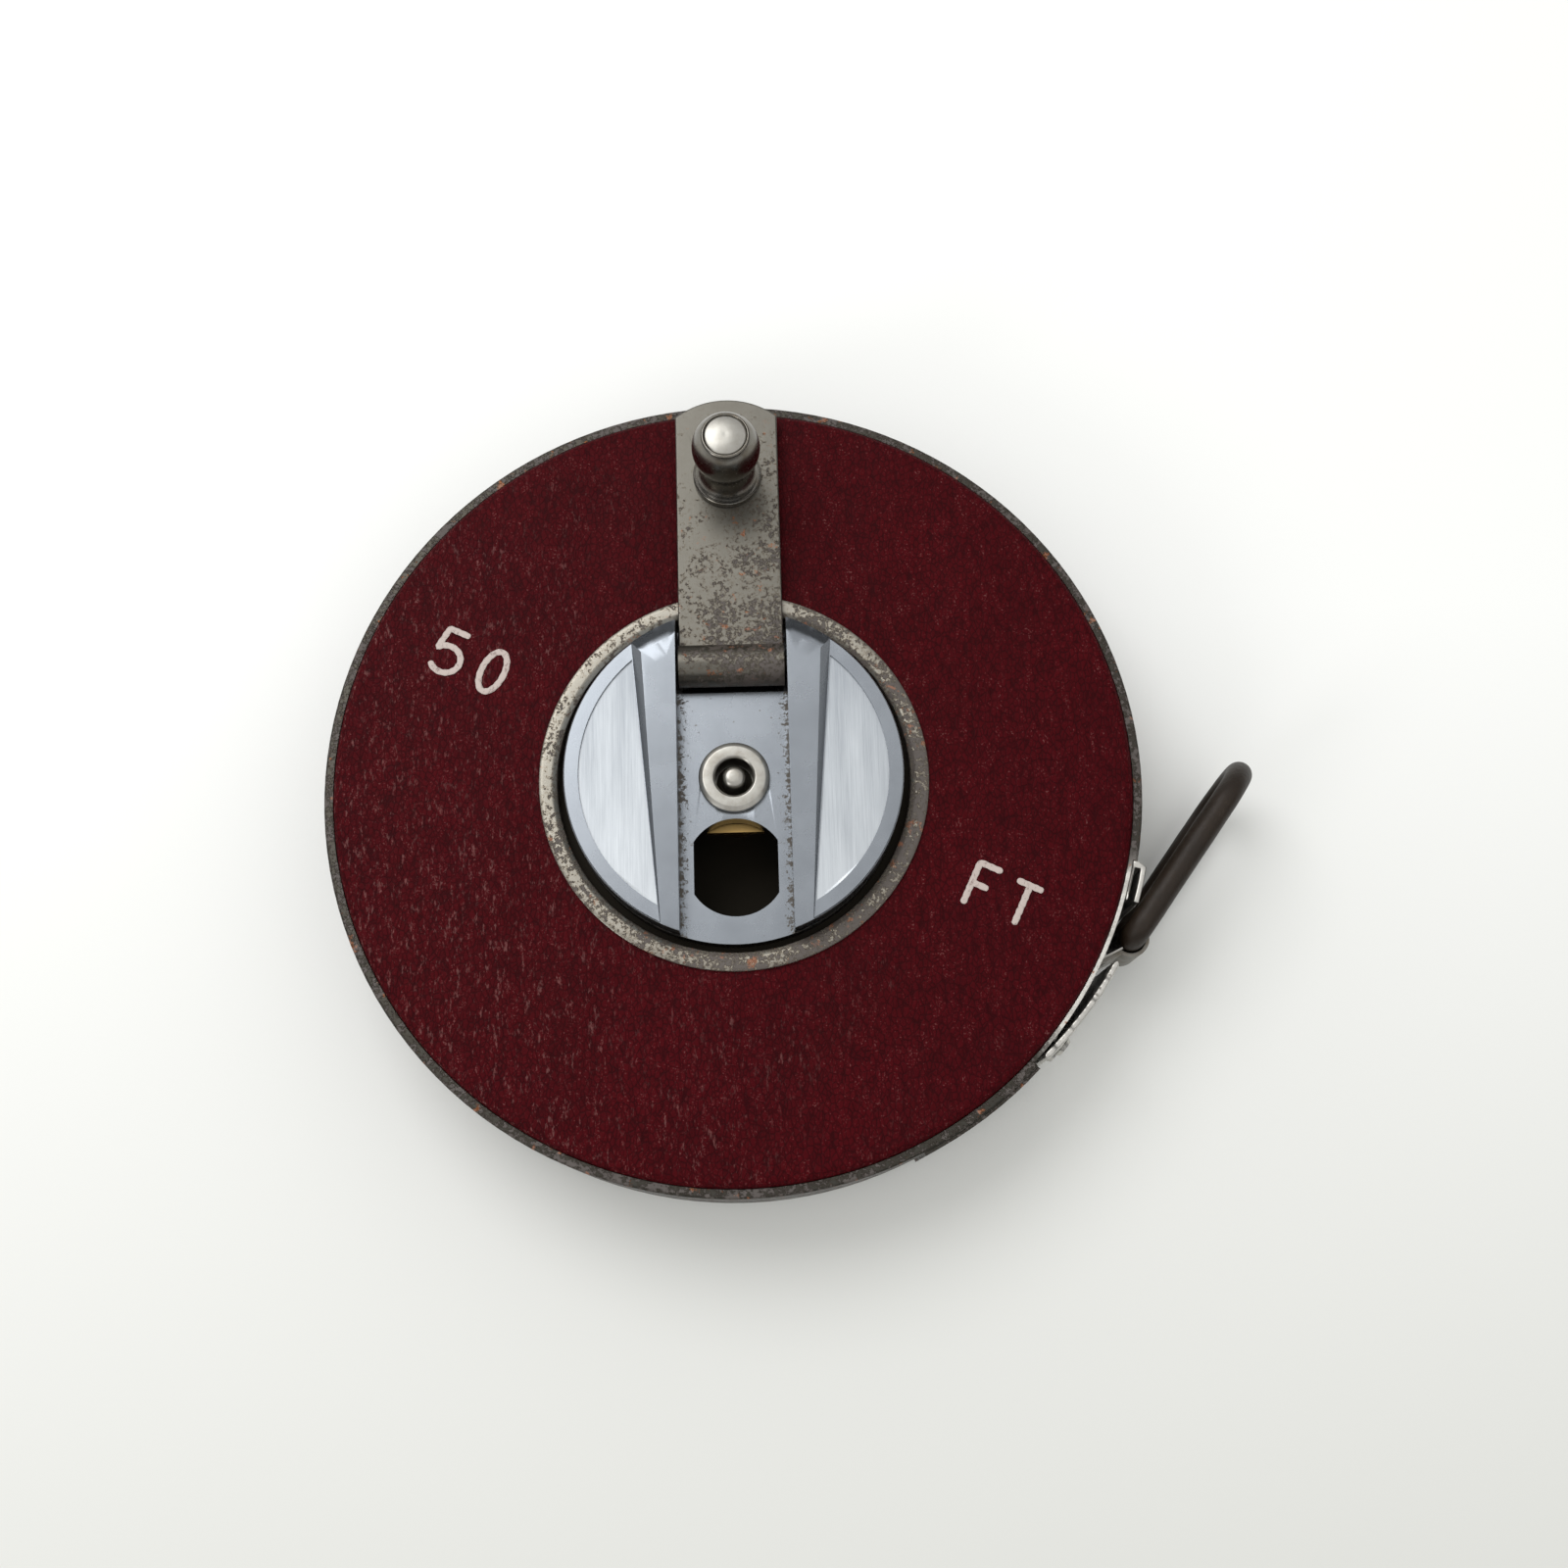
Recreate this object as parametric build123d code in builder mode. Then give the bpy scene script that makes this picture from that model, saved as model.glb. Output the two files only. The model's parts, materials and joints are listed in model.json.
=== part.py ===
"""Leather-faced crank tape reel with a flush folding handle.

The case lies on its back: z = 0 is the back face, +Z runs out through the winding disc, and the
origin is on the reel's axis. The opened handle points along +Y and the tape leaves near +X. All
sizes are in millimetres. Pieces are grouped as case, opener, reel, handle, knob, tape end and ring.
"""

import os
from math import atan2, cos, degrees, pi, radians, sin, sqrt

from build123d import *

os.makedirs("parts", exist_ok=True)

# ---------------------------------------------------------------- driving sizes: case
LEATHER_RADIUS = 45.0
LEATHER_THICK = 1.2
LEATHER_ROUNDING = 1.0
SHELL_THICK = 0.6
SHELL_OVERHANG = 0.5       # the pans stand out past the leather by this much
BAND_THICK = 0.55
BAND_LIP_HEIGHT = 0.38     # the band's crimped edge over each pan
BEZEL_LAP = 1.5            # over the leather
BEZEL_WALL = 0.6           # inside the opening
BEZEL_AIR = 0.95           # round the winding disc
BEZEL_RISE = 0.45
BOSS_RADIUS = 9.0          # plate at the centre of the back

# ---------------------------------------------------------------- driving sizes: tape and drum
TAPE_WIDTH = 9.5           # three-eighths of an inch
TAPE_THICK = 0.2
COIL_START_GAP = 0.45      # between the hub and the first turn
TAPE_ROOM = 1.2            # beside the tape in its slot
TAPE_LENGTH = 15240.0      # fifty feet
HUB_RADIUS = 18.0
HUB_WALL = 1.4
FLANGE_RADIUS = 38.5
FLANGE_THICK = 0.55
FLANGE_TAPE_GAP = 0.35     # beside the tape's edges
REEL_END_GAP = 0.5         # between the front flange and the front pan
DRUM_AIR = 0.5             # between the axle's collar and the rear flange, most of it washer
HUB_LUG_RADIUS = 2.0
HUB_LUG_PITCH = 14.9
HUB_LUG_ANGLES = (20.0, 160.0, 200.0, 340.0)
DRUM_RIVET_RADIUS = 0.9
RIVET_HEAD_HEIGHT = 0.4
RIVET_HEAD_SPREAD = 0.72   # the head stands out past the shank by this much
RIVET_DEPTH_IN_DISC = 1.54
ANCHOR_HALF_ANGLE = 14.0

# ---------------------------------------------------------------- driving sizes: axle and pin
AXLE_RADIUS = 3.1
AXLE_BORE = 1.5
AXLE_COLLAR_SPREAD = 2.1   # past the axle; so are the two other spreads
AXLE_COLLAR_HEIGHT = 0.6
CAP_SPREAD = 0.9
CAP_HOLE = 2.15
CAP_HEIGHT = 0.8
CAP_SPIGOT_LENGTH = 3.0
CAP_SPIGOT_WALL = 0.35
BUSH_WALL = 0.7
BUSH_COLLAR_SPREAD = 2.5
BUSH_COLLAR_HEIGHT = 1.0
BUTTON_RADIUS = 2.2
BUTTON_HEIGHT = 1.4
PIN_RADIUS = 1.4
PIN_TRAVEL = 2.0

# ---------------------------------------------------------------- driving sizes: winding disc
DISC_RADIUS = 18.85
DISC_FLOOR_BELOW_FACE = 0.1    # channel floor, under the plane of the front leather
WING_HEIGHT = 3.6              # rim of the wings over the channel floor
BAR_RISE = 1.2                 # extra height of the bars at the hinge
BAR_WIDTH_HINGE = 4.1
BAR_WIDTH_FAR = 1.9
BAR_END_BEVEL = 2.2
WING_RIM = 1.65
PANEL_DEPTH = 0.25
DISC_EDGE = 0.15
NOTCH_DEPTH = 1.1              # under the handle's knuckle

# ---------------------------------------------------------------- driving sizes: handle
HINGE_Y = 12.8
WELL_Y = -10.2                 # where the folded knob stands
HINGE_ABOVE_FLOOR = 1.6
HINGE_PIN_RADIUS = 1.0
HINGE_PIN_REACH = 3.0          # into each wing
KNUCKLE_RADIUS = 2.4
STRAP_WIDTH = 11.9
STRAP_THICK = 1.3
STRAP_FACE_ABOVE_HINGE = 0.5   # the knob's side of the strap, handle open
STRAP_TIP_ARC = 9.4
STRAP_EDGE = 0.2
KNOB_FROM_TIP = 9.8
KNOB_HEIGHT = 11.2
KNOB_RADIUS = 3.85
KNOB_FOOT_SPREAD = 0.1
KNOB_FOOT_HEIGHT = 0.7
KNOB_NECK_RADIUS = 2.7
KNOB_TOP_RADIUS = 2.6
KNOB_THROAT_RADIUS = 3.1       # where the neck turns into the ball
KNOB_NECK_HEIGHT = 2.6
KNOB_THROAT_HEIGHT = 4.9
KNOB_WIDEST_HEIGHT = 7.6
STUD_RADIUS = 1.5
STUD_HEAD_RADIUS = 2.35
STUD_HEAD_HEIGHT = 0.8
WELL_ROOM = 1.7                # round the knob, in its hole in the disc
WELL_SIDE_ROOM = 0.75          # beside the knob's foot

# ---------------------------------------------------------------- driving sizes: mouth and ring
MOUTH_START = -44.0            # angles round the case, in degrees
MOUTH_WALL_END = -27.5
MOUTH_END = -13.2
MOUTH_LIP_END = -19.0
BAND_LAP_START = -65.0
BAND_END_GAP = 1.6             # in degrees, before the mouth's wall
MOUTH_WALL_THICK = 1.0
MOUTH_FLARE = 1.05
MOUTH_LIP_THICK = 0.6
MOUTH_LIP_GAP = 0.45
MOUTH_RIVET_ANGLE = -40.5
MOUTH_RIVET_RADIUS = 0.7
MOUTH_RIVET_SPREAD = 6.5
MOUTH_RIVET_HEAD_SPREAD = 0.49
MOUTH_RIVET_TAIL = 0.5         # inside the skirt
MOUTH_LIP_FOLD = 1.0           # in degrees, between the two legs at the fold
MOUTH_LIP_SHOULDER = 0.6       # in degrees, where the fold starts to slope
BAND_LAP_THICK = 0.35
SLOT_START = -37.0
SLOT_END = -16.0
CLIP_THICK = 0.4
CLIP_WIDTH = 7.0
CLIP_TAB_LENGTH = 8.0
CLIP_RIVET_RADIUS = 0.6
CLIP_RIVETS_ALONG = (1.6, 4.6)
HOOK_END = 0.6                 # how far the hook goes on under the crossbar, in radians
LEAD_START = 0.5
RING_WIRE_RADIUS = 1.5
RING_WIDTH = 14.5              # over the wire
RING_LENGTH = 25.8             # from the crossbar's middle to the outside of the tip
RING_CORNER = 2.0
RING_DIRECTION = 53.0
CROSSBAR_BEYOND_MOUTH = 3.7706      # along the tape, past the end of the mouth's wall
CROSSBAR_INSIDE = 0.6          # how far the crossbar's middle lies inside the tape's line

# ---------------------------------------------------------------- clearances
RUN = 0.05                     # radial, shaft in bush
SLIP = 0.1                     # faces that slide
LOOSE = 0.3                    # neighbours that never touch

# ---------------------------------------------------------------- levels, from the back upwards
DRUM_DEPTH = TAPE_WIDTH + 2 * (FLANGE_TAPE_GAP + FLANGE_THICK)
CASE_DEPTH = 2 * (LEATHER_THICK + SHELL_THICK) + AXLE_COLLAR_HEIGHT + DRUM_AIR + DRUM_DEPTH + REEL_END_GAP
REAR_PAN = LEATHER_THICK
REAR_PAN_TOP = REAR_PAN + SHELL_THICK
FRONT_PAN_TOP = CASE_DEPTH - LEATHER_THICK
FRONT_PAN = FRONT_PAN_TOP - SHELL_THICK
MID_DEPTH = CASE_DEPTH / 2
COLLAR_TOP = REAR_PAN_TOP + AXLE_COLLAR_HEIGHT
FRONT_FLANGE_TOP = FRONT_PAN - REEL_END_GAP
FRONT_FLANGE = FRONT_FLANGE_TOP - FLANGE_THICK
TAPE_TOP = FRONT_FLANGE - FLANGE_TAPE_GAP
TAPE_BOTTOM = TAPE_TOP - TAPE_WIDTH
TAPE_MIDDLE = TAPE_BOTTOM + TAPE_WIDTH / 2
REAR_FLANGE_TOP = TAPE_BOTTOM - FLANGE_TAPE_GAP
REAR_FLANGE = REAR_FLANGE_TOP - FLANGE_THICK
FLOOR = CASE_DEPTH - DISC_FLOOR_BELOW_FACE
WING_TOP = FLOOR + WING_HEIGHT
CAP_BOTTOM = FLOOR + SLIP
CAP_TOP = CAP_BOTTOM + CAP_HEIGHT
HINGE_Z = FLOOR + HINGE_ABOVE_FLOOR
STRAP_FACE = HINGE_Z + STRAP_FACE_ABOVE_HINGE
STRAP_BACK = STRAP_FACE - STRAP_THICK
KNOB_BOTTOM = STRAP_FACE + RUN
KNOB_TOP = STRAP_FACE + KNOB_HEIGHT
DISC_BOTTOM = FRONT_FLANGE_TOP
SHELL_RADIUS = LEATHER_RADIUS + SHELL_OVERHANG
SKIRT_INNER = SHELL_RADIUS - SHELL_THICK
BAND_INNER = SHELL_RADIUS + RUN
BAND_RADIUS = BAND_INNER + BAND_THICK
LIP_INNER = LEATHER_RADIUS + RUN
BUSH_BORE = AXLE_RADIUS + RUN
BUSH_RADIUS = BUSH_BORE + BUSH_WALL
AXLE_COLLAR_RADIUS = AXLE_RADIUS + AXLE_COLLAR_SPREAD
CAP_RADIUS = AXLE_RADIUS + CAP_SPREAD
BUSH_COLLAR_APOTHEM = AXLE_RADIUS + BUSH_COLLAR_SPREAD
COIL_INNER = HUB_RADIUS + COIL_START_GAP
COIL_OUTER = sqrt(COIL_INNER**2 + TAPE_LENGTH * TAPE_THICK / pi)
TAPE_LINE = COIL_OUTER + TAPE_THICK / 2 + RUN
CHANNEL_WIDTH = STRAP_WIDTH + 2 * LOOSE
CHANNEL_HALF = CHANNEL_WIDTH / 2
KNOB_Y = 2 * HINGE_Y - WELL_Y
STRAP_TIP_Y = KNOB_Y + KNOB_FROM_TIP
KNOB_FOOT_RADIUS = KNOB_RADIUS + KNOB_FOOT_SPREAD
BEZEL_INNER_RADIUS = DISC_RADIUS + BEZEL_AIR
OPENING_RADIUS = BEZEL_INNER_RADIUS + BEZEL_WALL
BEZEL_OUTER_RADIUS = OPENING_RADIUS + BEZEL_LAP
WELL_RADIUS = KNOB_RADIUS + WELL_ROOM
WELL_HALF_WIDTH = KNOB_FOOT_RADIUS + WELL_SIDE_ROOM


def polar(radius, angle):
    """Point at a radius and an angle in degrees round the reel's axis."""
    return (radius * cos(radians(angle)), radius * sin(radians(angle)))


def mouth_inner(angle):
    """Inside radius of the mouth's outer wall, which flares towards its end."""
    share = (angle - MOUTH_START) / (MOUTH_WALL_END - MOUTH_START)
    return BAND_INNER + MOUTH_FLARE * share


# The tape leaves the coil on a tangent and clears the end of the mouth's outer wall by LOOSE.
MOUTH_EXIT_RADIUS = mouth_inner(MOUTH_WALL_END)
EXIT_OFFSET = TAPE_LINE + TAPE_THICK / 2 + CLIP_THICK + LOOSE
EXIT_ALONG = sqrt(MOUTH_EXIT_RADIUS**2 - EXIT_OFFSET**2)
LEAVE_ANGLE = MOUTH_WALL_END - degrees(atan2(EXIT_ALONG, EXIT_OFFSET))
TAPE_HEADING = LEAVE_ANGLE + 90.0


def on_tape(along, outward):
    """Point by its distance along the straight tape and outward from the reel's axis."""
    run_x, run_y = polar(along, TAPE_HEADING)
    out_x, out_y = polar(outward, LEAVE_ANGLE)
    return (run_x + out_x, run_y + out_y)


CROSSBAR_ALONG = EXIT_ALONG + CROSSBAR_BEYOND_MOUTH
CROSSBAR = on_tape(CROSSBAR_ALONG, TAPE_LINE - CROSSBAR_INSIDE)


def sector(outer, start, end):
    """Corners of a wedge that covers an arc between two angles, out past a radius."""
    middle = (start + end) / 2
    return [(0, 0), polar(outer * 1.5, start), polar(outer * 1.5, middle), polar(outer * 1.5, end)]


def save(piece, name):
    """Label a finished piece and write its STEP file."""
    piece.label = name
    export_step(piece, f"parts/{name}.step")


# ================================================================ case
MOUTH_RIVET_START = SKIRT_INNER - MOUTH_RIVET_TAIL
MOUTH_RIVET_LENGTH = mouth_inner(MOUTH_RIVET_ANGLE) + MOUTH_WALL_THICK + 3 * RUN - MOUTH_RIVET_START
MOUTH_RIVET_LEVELS = (MID_DEPTH - MOUTH_RIVET_SPREAD / 2, MID_DEPTH + MOUTH_RIVET_SPREAD / 2)
SLOT_HALF = TAPE_WIDTH / 2 + TAPE_ROOM


def pan(name, plate_z, skirt_z, skirt_height, hole_radius, slot_height, rivet_z):
    """One pressed pan: a plate with a round hole, a skirt, the tape's slot and a rivet hole."""
    with BuildPart() as shell:
        with BuildSketch(Plane.XY.offset(plate_z)):
            Circle(SHELL_RADIUS)
            Circle(hole_radius, mode=Mode.SUBTRACT)
        extrude(amount=SHELL_THICK)
        with BuildSketch(Plane.XY.offset(skirt_z)):
            Circle(SHELL_RADIUS)
            Circle(SKIRT_INNER, mode=Mode.SUBTRACT)
        extrude(amount=skirt_height)
        with BuildSketch(Plane.XY.offset(MID_DEPTH)):
            with BuildLine():
                Polyline(*sector(SHELL_RADIUS, SLOT_START, SLOT_END), close=True)
            make_face()
            Circle(SKIRT_INNER - LOOSE, mode=Mode.SUBTRACT)
        extrude(amount=slot_height, mode=Mode.SUBTRACT)
        with BuildSketch(mouth_rivet_plane(rivet_z)):
            Circle(MOUTH_RIVET_RADIUS)
        extrude(amount=MOUTH_RIVET_LENGTH, mode=Mode.SUBTRACT)
    save(shell.part, name)


def mouth_rivet_plane(height):
    """Plane inside the skirt that faces outwards at a mouth rivet."""
    x, y = polar(MOUTH_RIVET_START, MOUTH_RIVET_ANGLE)
    outward = (cos(radians(MOUTH_RIVET_ANGLE)), sin(radians(MOUTH_RIVET_ANGLE)), 0)
    return Plane(origin=(x, y, height), x_dir=(0, 0, 1), z_dir=outward)


pan("rear_shell", REAR_PAN, REAR_PAN_TOP, MID_DEPTH - REAR_PAN_TOP, AXLE_RADIUS, -SLOT_HALF,
    MOUTH_RIVET_LEVELS[0])
pan("front_shell", FRONT_PAN, MID_DEPTH, FRONT_PAN - MID_DEPTH, OPENING_RADIUS, SLOT_HALF,
    MOUTH_RIVET_LEVELS[1])


def leather(name, base_z, hole_radius, outer_face):
    """One leather facing, rounded where its edge meets the band."""
    with BuildPart() as facing:
        with BuildSketch(Plane.XY.offset(base_z)):
            Circle(LEATHER_RADIUS)
            Circle(hole_radius, mode=Mode.SUBTRACT)
        extrude(amount=LEATHER_THICK)
        rim = facing.faces().sort_by(Axis.Z)[outer_face].edges().sort_by(SortBy.LENGTH)[-1]
        fillet(rim, radius=LEATHER_ROUNDING)
    save(facing.part, name)


leather("rear_leather", 0, BOSS_RADIUS, 0)
leather("front_leather", FRONT_PAN_TOP, OPENING_RADIUS, -1)

with BuildPart() as rim_band:
    with BuildSketch(Plane.XZ):
        with BuildLine():
            Polyline(
                (LIP_INNER, REAR_PAN),
                (LIP_INNER, REAR_PAN - BAND_LIP_HEIGHT),
                (BAND_RADIUS, REAR_PAN - BAND_LIP_HEIGHT),
                (BAND_RADIUS, FRONT_PAN_TOP + BAND_LIP_HEIGHT),
                (LIP_INNER, FRONT_PAN_TOP + BAND_LIP_HEIGHT),
                (LIP_INNER, FRONT_PAN_TOP),
                (BAND_INNER, FRONT_PAN_TOP),
                (BAND_INNER, REAR_PAN),
                close=True,
            )
        make_face()
    revolve(axis=Axis.Z)
    rounded = rim_band.edges().filter_by(GeomType.CIRCLE).filter_by(lambda e: abs(e.radius - BAND_RADIUS) < RUN)
    fillet(rounded, radius=BAND_LIP_HEIGHT * 0.8)
    # lap joint: one end of the band runs over the other, up to the mouth
    with BuildSketch(Plane.XY.offset(REAR_PAN)):
        Circle(BAND_RADIUS + BAND_LAP_THICK)
        with BuildLine():
            Polyline(*sector(BAND_RADIUS, BAND_LAP_START, MOUTH_START), close=True)
        make_face(mode=Mode.INTERSECT)
        Circle(BAND_INNER + BAND_THICK / 2, mode=Mode.SUBTRACT)
    extrude(amount=FRONT_PAN_TOP - REAR_PAN)
    # the mouth, with the crimped lips left in place in front of it and behind it
    with BuildSketch(Plane.XY.offset(-LEATHER_THICK)):
        with BuildLine():
            Polyline(*sector(BAND_RADIUS, MOUTH_START - BAND_END_GAP, MOUTH_END), close=True)
        make_face()
        Circle(BAND_INNER, mode=Mode.SUBTRACT)
    extrude(amount=CASE_DEPTH + 2 * LEATHER_THICK, mode=Mode.SUBTRACT)
save(rim_band.part, "rim_band")

with BuildPart() as bezel_ring:
    with BuildSketch(Plane.XZ):
        with BuildLine():
            Polyline(
                (BEZEL_INNER_RADIUS, FRONT_PAN),
                (OPENING_RADIUS, FRONT_PAN),
                (OPENING_RADIUS, CASE_DEPTH),
                (BEZEL_OUTER_RADIUS, CASE_DEPTH),
                (BEZEL_OUTER_RADIUS, CASE_DEPTH + BEZEL_RISE),
                (BEZEL_INNER_RADIUS, CASE_DEPTH + BEZEL_RISE),
                close=True,
            )
        make_face()
    revolve(axis=Axis.Z)
    top_rims = bezel_ring.faces().sort_by(Axis.Z)[-1].edges()
    fillet(top_rims, radius=BEZEL_RISE * 0.7)
save(bezel_ring.part, "bezel_ring")

with BuildPart() as rear_boss_plate:
    with BuildSketch(Plane.XY):
        Circle(BOSS_RADIUS)
        Circle(AXLE_RADIUS, mode=Mode.SUBTRACT)
    extrude(amount=LEATHER_THICK)
save(rear_boss_plate.part, "rear_boss_plate")

BUTTON_CHAMBER = BUTTON_HEIGHT + PIN_TRAVEL + SLIP
CAP_SPIGOT_RADIUS = CAP_HOLE + CAP_SPIGOT_WALL
with BuildPart() as axle_tube:
    with BuildSketch(Plane.XZ):
        with BuildLine():
            Polyline(
                (BUTTON_RADIUS + SLIP, 0),
                (AXLE_RADIUS, 0),
                (AXLE_RADIUS, REAR_PAN_TOP),
                (AXLE_COLLAR_RADIUS, REAR_PAN_TOP),
                (AXLE_COLLAR_RADIUS, COLLAR_TOP),
                (AXLE_RADIUS, COLLAR_TOP),
                (AXLE_RADIUS, CAP_BOTTOM),
                (CAP_SPIGOT_RADIUS, CAP_BOTTOM),
                (CAP_SPIGOT_RADIUS, CAP_BOTTOM - CAP_SPIGOT_LENGTH),
                (AXLE_BORE, CAP_BOTTOM - CAP_SPIGOT_LENGTH),
                (AXLE_BORE, BUTTON_CHAMBER),
                (BUTTON_RADIUS + SLIP, BUTTON_CHAMBER),
                close=True,
            )
        make_face()
    revolve(axis=Axis.Z)
save(axle_tube.part, "axle_tube")

with BuildPart() as thrust_washer:
    with BuildSketch(Plane.XY.offset(COLLAR_TOP)):
        Circle(AXLE_COLLAR_RADIUS - LOOSE)
        Circle(AXLE_RADIUS, mode=Mode.SUBTRACT)
    extrude(amount=REAR_FLANGE - COLLAR_TOP - SLIP)
save(thrust_washer.part, "thrust_washer")

with BuildPart() as axle_cap:
    with BuildSketch(Plane.XY.offset(CAP_BOTTOM)):
        Circle(CAP_RADIUS)
        Circle(CAP_HOLE, mode=Mode.SUBTRACT)
    extrude(amount=CAP_HEIGHT)
    cap_rims = axle_cap.faces().sort_by(Axis.Z)[-1].edges()
    fillet(cap_rims, radius=CAP_HEIGHT / 4)
    with BuildSketch(Plane.XY.offset(CAP_BOTTOM)):
        Circle(CAP_SPIGOT_RADIUS)
        Circle(CAP_HOLE, mode=Mode.SUBTRACT)
    extrude(amount=-CAP_SPIGOT_LENGTH)
save(axle_cap.part, "axle_cap")

# ---------------------------------------------------------------- mouth
MOUTH_BOTTOM = REAR_PAN - BAND_LIP_HEIGHT
MOUTH_TOP = FRONT_PAN_TOP + BAND_LIP_HEIGHT
MOUTH_HEIGHT = MOUTH_TOP - MOUTH_BOTTOM
MOUTH_MIDDLE_ANGLE = (MOUTH_START + MOUTH_WALL_END) / 2
with BuildPart() as mouth_plate:
    with BuildSketch(Plane.XY.offset(MOUTH_BOTTOM)):
        with BuildLine():
            inside = [polar(mouth_inner(a), a) for a in (MOUTH_START, MOUTH_MIDDLE_ANGLE, MOUTH_WALL_END)]
            outside = [
                polar(mouth_inner(a) + MOUTH_WALL_THICK, a)
                for a in (MOUTH_WALL_END, MOUTH_MIDDLE_ANGLE, MOUTH_START)
            ]
            ThreePointArc(*inside)
            Line(inside[2], outside[0])
            ThreePointArc(*outside)
            Line(outside[2], inside[0])
        make_face()
    extrude(amount=MOUTH_HEIGHT)
    fillet(mouth_plate.edges().filter_by(Axis.Z), radius=MOUTH_WALL_THICK * 0.4)
    for level in MOUTH_RIVET_LEVELS:
        with BuildSketch(mouth_rivet_plane(level)):
            Circle(MOUTH_RIVET_RADIUS)
        extrude(amount=MOUTH_RIVET_LENGTH + MOUTH_WALL_THICK, mode=Mode.SUBTRACT)
save(mouth_plate.part, "mouth_plate")

LIP_OUTER_LEG = BAND_RADIUS + MOUTH_LIP_GAP
with BuildPart() as mouth_lip:
    with BuildSketch(Plane.XY.offset(MOUTH_BOTTOM)):
        with BuildLine():
            middle_angle = (MOUTH_END + MOUTH_LIP_END) / 2
            near = LIP_OUTER_LEG
            far = LIP_OUTER_LEG + MOUTH_LIP_THICK
            foot = BAND_RADIUS - BAND_THICK + RUN
            ThreePointArc(polar(near, MOUTH_END - MOUTH_LIP_FOLD), polar(near, middle_angle), polar(near, MOUTH_LIP_END))
            Line(polar(near, MOUTH_LIP_END), polar(far, MOUTH_LIP_END))
            ThreePointArc(polar(far, MOUTH_LIP_END), polar(far, middle_angle), polar(far, MOUTH_END - MOUTH_LIP_SHOULDER))
            Line(polar(far, MOUTH_END - MOUTH_LIP_SHOULDER), polar(foot + BAND_THICK, MOUTH_END))
            Line(polar(foot + BAND_THICK, MOUTH_END), polar(foot, MOUTH_END))
            ThreePointArc(polar(foot, MOUTH_END), polar(foot, middle_angle), polar(foot, MOUTH_LIP_END))
            Line(polar(foot, MOUTH_LIP_END), polar(foot + BAND_THICK / 2, MOUTH_LIP_END))
            ThreePointArc(
                polar(foot + BAND_THICK / 2, MOUTH_LIP_END),
                polar(foot + BAND_THICK / 2, middle_angle),
                polar(foot + BAND_THICK / 2, MOUTH_END - MOUTH_LIP_FOLD),
            )
            Line(polar(foot + BAND_THICK / 2, MOUTH_END - MOUTH_LIP_FOLD), polar(near, MOUTH_END - MOUTH_LIP_FOLD))
        make_face()
    extrude(amount=MOUTH_HEIGHT)
save(mouth_lip.part, "mouth_lip")

with BuildPart() as mouth_rivets:
    for level in MOUTH_RIVET_LEVELS:
        with BuildSketch(mouth_rivet_plane(level)):
            Circle(MOUTH_RIVET_RADIUS)
        extrude(amount=MOUTH_RIVET_LENGTH)
        with BuildSketch(mouth_rivet_plane(level).offset(MOUTH_RIVET_LENGTH)):
            Circle(MOUTH_RIVET_RADIUS + MOUTH_RIVET_HEAD_SPREAD)
        extrude(amount=RIVET_HEAD_HEIGHT, taper=30)
save(mouth_rivets.part, "mouth_rivets")

# ================================================================ opener
with BuildPart() as push_pin:
    with BuildSketch(Plane.XY):
        Circle(BUTTON_RADIUS)
    extrude(amount=BUTTON_HEIGHT)
    with BuildSketch(Plane.XY.offset(BUTTON_HEIGHT)):
        Circle(PIN_RADIUS)
    extrude(amount=CAP_TOP - BUTTON_HEIGHT)
    fillet(push_pin.faces().sort_by(Axis.Z)[-1].edges(), radius=PIN_RADIUS * 0.6)
save(push_pin.part, "push_pin")

PIN_CLIP_HEIGHT = 0.5
with BuildPart() as pin_clip:
    with BuildSketch(Plane.XY.offset(CAP_BOTTOM - CAP_SPIGOT_LENGTH + RUN)):
        Circle(CAP_HOLE - SLIP)
        Circle(PIN_RADIUS, mode=Mode.SUBTRACT)
    extrude(amount=PIN_CLIP_HEIGHT)
save(pin_clip.part, "pin_clip")

# ================================================================ reel


HINGE_PLANE = Plane(origin=(0, HINGE_Y, HINGE_Z), x_dir=(0, 1, 0), z_dir=(1, 0, 0))
BAR_FOOT = CHANNEL_HALF + BAR_WIDTH_HINGE + BAR_RISE
BAR_TOP = WING_TOP + BAR_RISE
BAR_SLIVER = 0.02

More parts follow.
